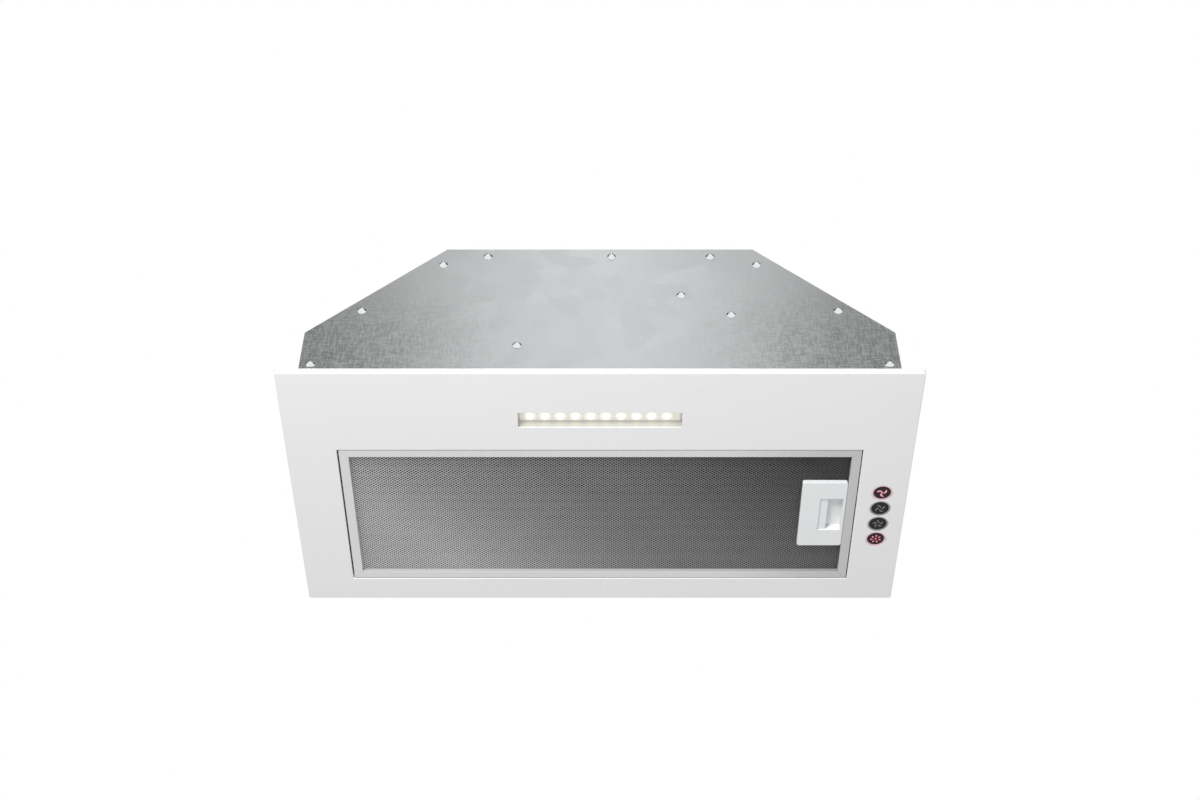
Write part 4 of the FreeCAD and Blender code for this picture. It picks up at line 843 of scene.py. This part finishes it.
prints = {                                       # petals, length, width, start, swirl, disc radius, sink
    "icon_speed_low": (3, 4.6, 2.8, 0.9, -1.1, 0.7, 0.0),
    "icon_speed_middle": (4, 4.2, 2.2, 1.1, -1.0, 0.0, 0.0),
    "icon_speed_high": (5, 4.1, 2.0, 1.2, -0.9, 0.0, 0.0),
    "icon_lamp": (7, 2.5, 1.5, 2.9, 0.0, 0.8, 0.0),
    "icon_lamp_back": (0, 0, 0, 0, 0, 4.6, 0.06),
}


def raisePrint(mesh, vertices):                  # a flat shape gets the print's height
    grown = bmesh.ops.extrude_face_region(mesh, geom=facesOf(vertices))["geom"]
    thick = button["iconHigh"] - button["iconLow"]
    bmesh.ops.translate(mesh, vec=(0, 0, thick), verts=verticesOf(grown))


def addPetal(mesh, length, width, start, swirl, angle):
    known = set(mesh.verts)
    bmesh.ops.create_circle(mesh, cap_ends=True, segments=14, radius=1.0)
    petal = newest(mesh, known)
    for vertex in petal:
        along = (vertex.co.x + 1) / 2
        taper = 0.45 + 0.55 * along
        vertex.co = Vector((start + along * length, vertex.co.y * width / 2 * taper, 0))
    for vertex in petal:
        reach = vertex.co.to_2d().length
        bend = swirl * (reach - start) / length
        vertex.co = Matrix.Rotation(bend + angle, 3, "Z") @ vertex.co
    raisePrint(mesh, petal)


def addDisc(mesh, radius):
    known = set(mesh.verts)
    bmesh.ops.create_circle(mesh, cap_ends=True, segments=24, radius=radius)
    raisePrint(mesh, newest(mesh, known))


def makeIcon(name, key, finish, slotName):
    petals, length, width, start, swirl, disc, sink = prints[name]
    mesh = bmesh.new()
    for step in range(petals):
        addPetal(mesh, length, width, start, swirl, math.tau * step / petals + button["iconTurn"])
    if disc:
        addDisc(mesh, disc)
    bmesh.ops.recalc_face_normals(mesh, faces=mesh.faces)
    bmesh.ops.scale(mesh, vec=(millimetre, millimetre, millimetre), verts=mesh.verts)
    spot = Vector((button["x"], button["y"][key], button["iconLow"] + sink)) * millimetre
    bmesh.ops.translate(mesh, vec=spot, verts=mesh.verts)
    keep(name, mesh, finish, "button_" + key + "_body", slotName)


def makeButtons():
    for name, y in button["y"].items():
        spot = Vector((button["x"], y, 0)) * millimetre
        body = "button_" + name + "_body"
        lit = name in ("speed_low", "lamp")
        cap = bmesh.new()
        turned(cap, inMillimetres(button["cap"]), Matrix.Translation(spot), 48)
        keep("cap_" + name, cap, buttonMaroon if lit else buttonBlack, body, "button_black", "button_" + name)
        ring = bmesh.new()
        turned(ring, inMillimetres(button["ring"]), Matrix.Translation(spot), 56)
        inside = button["litInside"] if lit else button["greyInside"]
        outside = button["litOutside"] if lit else button["greyOutside"]
        finish = makeRing("ring_" + name, spot, inside, outside, button["ringGlow"] if lit else 0.0)
        keep("bezel_" + name, ring, finish, "hood", "ring_lit" if lit else "ring_grey", "ring_" + name)
    makeIcon("icon_speed_low", "speed_low", iconPink, "ring_lit")
    makeIcon("icon_speed_middle", "speed_middle", iconGrey, "ring_grey")
    makeIcon("icon_speed_high", "speed_high", iconGrey, "ring_grey")
    makeIcon("icon_lamp", "lamp", iconPink, "ring_lit")
    makeIcon("icon_lamp_back", "lamp", iconCrimson, "ring_lit")


makeButtons()
print("buttons made")


# LED lamps

lamp = {
    "firstX": -65.95,
    "pitch": 14.3,
    "count": 10,
    "y": -94.1,
    "boardZ": 8.6,
    "case": 4.6,
    "caseHeight": 0.8,
    "caseBevel": 0.15,
    "lens": [(0, 5.7), (1.0, 5.8), (1.9, 6.1), (2.7, 6.6), (3.3, 7.3), (3.5, 8.1), (3.5, 8.5), (0, 8.5)],
}

# painted light and shade: the trough's white is toned down and the board's raised, and both glow round the
# lamps though they are no lamps
lampWhiteAndPaintedGlow = {
    "trough": (152, 151, 145),
    "board": (214, 213, 207),
    "light": (255, 253, 240),
    "z": 7.0,
    "near": 3.5,
    "far": 10.0,
    "paintedHalo": 0.19,
    "plain": 0.25,
    "endNear": 68.0,
    "endFar": 79.0,
    "endShare": 0.6,
    "grain": 800,
    "grainTone": 0.06,
    "roughness": 0.50,
    "gloss": 0.2,
    "bump": 0.05,
}


def makeLampWhiteWithPaintedGlow(name, tone):                   # white, with painted light: a glow painted round each lamp and over the whole surface, less of it towards the ends
    material, tree = newFinish(name)
    half = lamp["pitch"] * millimetre / 2
    along = tree.maths("PINGPONG", tree.axis("X") - lamp["firstX"] * millimetre, half)
    across = tree.axis("Y") - lamp["y"] * millimetre
    down = tree.axis("Z") - lampWhiteAndPaintedGlow["z"] * millimetre
    away = tree.node("ShaderNodeCombineXYZ", {}, {0: along, 1: across, 2: down})
    away = tree.node("ShaderNodeVectorMath", {"operation": "LENGTH"}, {0: away}, "Value")
    near, far = lampWhiteAndPaintedGlow["near"] * millimetre, lampWhiteAndPaintedGlow["far"] * millimetre
    paintedHalo = tree.ramp(away, near, far, lampWhiteAndPaintedGlow["paintedHalo"], 0.0)
    near, far = lampWhiteAndPaintedGlow["endNear"] * millimetre, lampWhiteAndPaintedGlow["endFar"] * millimetre
    ends = tree.ramp(tree.maths("ABSOLUTE", tree.axis("X"), 0.0), near, far, 1.0, lampWhiteAndPaintedGlow["endShare"])
    grain = tree.noise(lampWhiteAndPaintedGlow["grain"])
    tree.surface({
        "Base Color": tree.scaled(colour(*tone), around(grain, lampWhiteAndPaintedGlow["grainTone"])),
        "Roughness": around(grain, lampWhiteAndPaintedGlow["grainTone"], lampWhiteAndPaintedGlow["roughness"]),
        "Specular IOR Level": lampWhiteAndPaintedGlow["gloss"],
        "Emission Color": tree.scaled(colour(*lampWhiteAndPaintedGlow["light"]), (paintedHalo + lampWhiteAndPaintedGlow["plain"]) * ends),
        "Emission Strength": 1.0,
        "Normal": tree.bump(grain, lampWhiteAndPaintedGlow["bump"], fineBump),
    })
    return material


def makeLeds():
    cases = bmesh.new()
    lenses = bmesh.new()
    size = lamp["case"] * millimetre
    tall = lamp["caseHeight"] * millimetre
    middle = lamp["boardZ"] * millimetre - tall / 2
    y = lamp["y"] * millimetre
    for step in range(lamp["count"]):
        x = (lamp["firstX"] + lamp["pitch"] * step) * millimetre
        known = set(cases.verts)
        bmesh.ops.create_cube(cases, size=1.0)
        fresh = newest(cases, known)
        bmesh.ops.scale(cases, vec=(size, size, tall), verts=fresh)
        bmesh.ops.translate(cases, vec=(x, y, middle), verts=fresh)
        turned(lenses, inMillimetres(lamp["lens"]), Matrix.Translation((x, y, 0)), 20)
    bmesh.ops.bevel(
        cases, geom=cases.edges[:], offset=lamp["caseBevel"] * millimetre, offset_type="OFFSET",
        segments=2, profile=0.5, affect="EDGES", clamp_overlap=True, material=-1,
    )
    keep("ledCases", cases, ledCase, "hood", "led_face", "lamp_leds")
    keep("ledLenses", lenses, ledLens, "hood", "led_face")
    dress(makeLampWhiteWithPaintedGlow("lampTroughPaintedGlow", lampWhiteAndPaintedGlow["trough"]), "lamp_trough")
    dress(makeLampWhiteWithPaintedGlow("whiteBoardPaintedGlow", lampWhiteAndPaintedGlow["board"]), "lamp_board")


makeLeds()
print("lamps made")


# Studio

studio = {
    "floorZ": -2.3,
    "floorHalf": 60.0,
    "floorTones": (228, 232),
    "floorCloud": 0.7,
    "floorGlow": 0.45,
    "worldLight": 0.45,
    "sun": 0.8,
    "sunSpot": (-0.5, 0.7, 1.6),
    "sunAngle": 25,
    "key": 30.0,
    "keySpot": (-0.4, -1.6, -0.55),
    "keySize": 0.5,
    "front": 1.0,
    "frontSpot": (0, -1.5, 1.85),
    "frontTarget": (0, -0.147, 0.12),
    "frontSize": 0.8,
    "flagNear": 0.38,
    "flagFar": 2.4,
    "flagY": -1.2,
    "flagLow": 0.9,
    "flagHigh": 2.6,
    "roofNear": 0.28,
    "roofFront": -1.2,
    "roofRear": 1.0,
    "roofZ": 2.0,
    "flagTone": 18,
}


def seenRays(tree):                              # rays from the camera, or that a gloss or a glass sends
    camera = tree.node("ShaderNodeLightPath", {}, {}, "Is Camera Ray")
    shiny = tree.maths("MAXIMUM", camera.other("Is Glossy Ray"), camera.other("Is Transmission Ray"))
    return tree.maths("MAXIMUM", camera, shiny)


def addCard(name, mesh, material):               # a flat stage piece, no part of the object
    shape = bpy.data.meshes.new(name)
    mesh.to_mesh(shape)
    mesh.free()
    shape.materials.append(material)
    card = bpy.data.objects.new(name, shape)
    bpy.context.scene.collection.objects.link(card)
    return card


def makeFloor():
    material, tree = newFinish("paleFloor")
    darker, lighter = studio["floorTones"]
    paint = tree.blend(tree.noise(studio["floorCloud"]), colour(darker), colour(lighter))
    diffuse = tree.node("ShaderNodeBsdfDiffuse", {}, {"Color": paint})
    glow = tree.node("ShaderNodeEmission", {}, {"Strength": seenRays(tree) * studio["floorGlow"]})
    both = tree.node("ShaderNodeAddShader", {}, {0: diffuse, 1: glow})
    tree.node("ShaderNodeOutputMaterial", {}, {"Surface": both})
    mesh = bmesh.new()
    bmesh.ops.create_grid(mesh, x_segments=1, y_segments=1, size=studio["floorHalf"])
    bmesh.ops.translate(mesh, vec=(0, 0, studio["floorZ"]), verts=mesh.verts)
    addCard("studioFloor", mesh, material)


def addFlag(name, low, high):                    # a dark card that only reflections see
    material, tree = newFinish(name)
    tree.surface({"Base Color": colour(studio["flagTone"]), "Roughness": 1.0})
    mesh = bmesh.new()
    bmesh.ops.create_grid(mesh, x_segments=1, y_segments=1, size=0.5)
    span = Vector(high) - Vector(low)
    if span.y < span.z:
        upright = Matrix.Rotation(math.pi / 2, 3, "X")
        bmesh.ops.rotate(mesh, cent=(0, 0, 0), matrix=upright, verts=mesh.verts)
    bmesh.ops.scale(mesh, vec=(span.x, span.y or 1, span.z or 1), verts=mesh.verts)
    bmesh.ops.translate(mesh, vec=(Vector(low) + Vector(high)) / 2, verts=mesh.verts)
    flag = addCard(name, mesh, material)
    flag.visible_camera = False
    flag.visible_diffuse = False
    flag.visible_transmission = False
    flag.visible_shadow = False


def addFlags():                                  # a standing one and a lying one on each side
    for side, word in ((-1, "Left"), (1, "Right")):
        near, far = sorted((side * studio["flagNear"], side * studio["flagFar"]))
        low = (near, studio["flagY"], studio["flagLow"])
        addFlag("flag" + word, low, (far, studio["flagY"], studio["flagHigh"]))
        near, far = sorted((side * studio["roofNear"], side * studio["flagFar"]))
        low = (near, studio["roofFront"], studio["roofZ"])
        addFlag("roof" + word, low, (far, studio["roofRear"], studio["roofZ"]))


def makeWorld():
    world = bpy.data.worlds.new("studioWorld")
    bpy.context.scene.world = world
    world.use_nodes = True
    tree = Tree(world.node_tree)
    plain = studio["worldLight"]
    strength = seenRays(tree) * (1.0 - plain) + plain
    back = tree.node("ShaderNodeBackground", {}, {"Color": (1, 1, 1, 1), "Strength": strength})
    tree.node("ShaderNodeOutputWorld", {}, {"Surface": back})


def addLamp(name, kind, spot, target, power, size, shines=True):
    light = bpy.data.lights.new(name, kind)
    light.energy = power
    if kind == "AREA":
        light.shape = "SQUARE"
        light.size = size
    else:
        light.angle = size
    lampObject = bpy.data.objects.new(name, light)
    aim = Vector(target) - Vector(spot)
    turn = aim.to_track_quat("-Z", "Y").to_matrix().to_4x4()
    lampObject.matrix_world = Matrix.Translation(Vector(spot)) @ turn
    lampObject.visible_camera = False
    lampObject.visible_glossy = shines           # a lamp that doesn't shine leaves no hot spot on the metal
    bpy.context.scene.collection.objects.link(lampObject)


photoView = {                                    # the photograph's own viewpoint, solved from its edges
    "lens": 55.43,
    "sensor": 36.0,
    "spot": (0, -1.2821, -1.2610),
    "tilt": 137.385,
    "farthest": 200.0,
}


def makeCamera():
    lens = bpy.data.cameras.new("photoView")
    lens.lens = photoView["lens"]
    lens.sensor_width = photoView["sensor"]
    lens.sensor_fit = "HORIZONTAL"
    lens.clip_end = photoView["farthest"]
    view = bpy.data.objects.new("photoView", lens)
    view.location = photoView["spot"]
    view.rotation_euler = (math.radians(photoView["tilt"]), 0, 0)
    bpy.context.scene.collection.objects.link(view)
    bpy.context.scene.camera = view


makeFloor()
addFlags()
makeWorld()
sunWidth = math.radians(studio["sunAngle"])
addLamp("softSun", "SUN", studio["sunSpot"], (0, 0, 0), studio["sun"], sunWidth, False)
addLamp("lowKey", "AREA", studio["keySpot"], (0, 0, 0), studio["key"], studio["keySize"], False)
addLamp("highFront", "AREA", studio["frontSpot"], studio["frontTarget"], studio["front"], studio["frontSize"])
makeCamera()
bpy.context.scene.view_settings.view_transform = "Standard"
print("studio set")
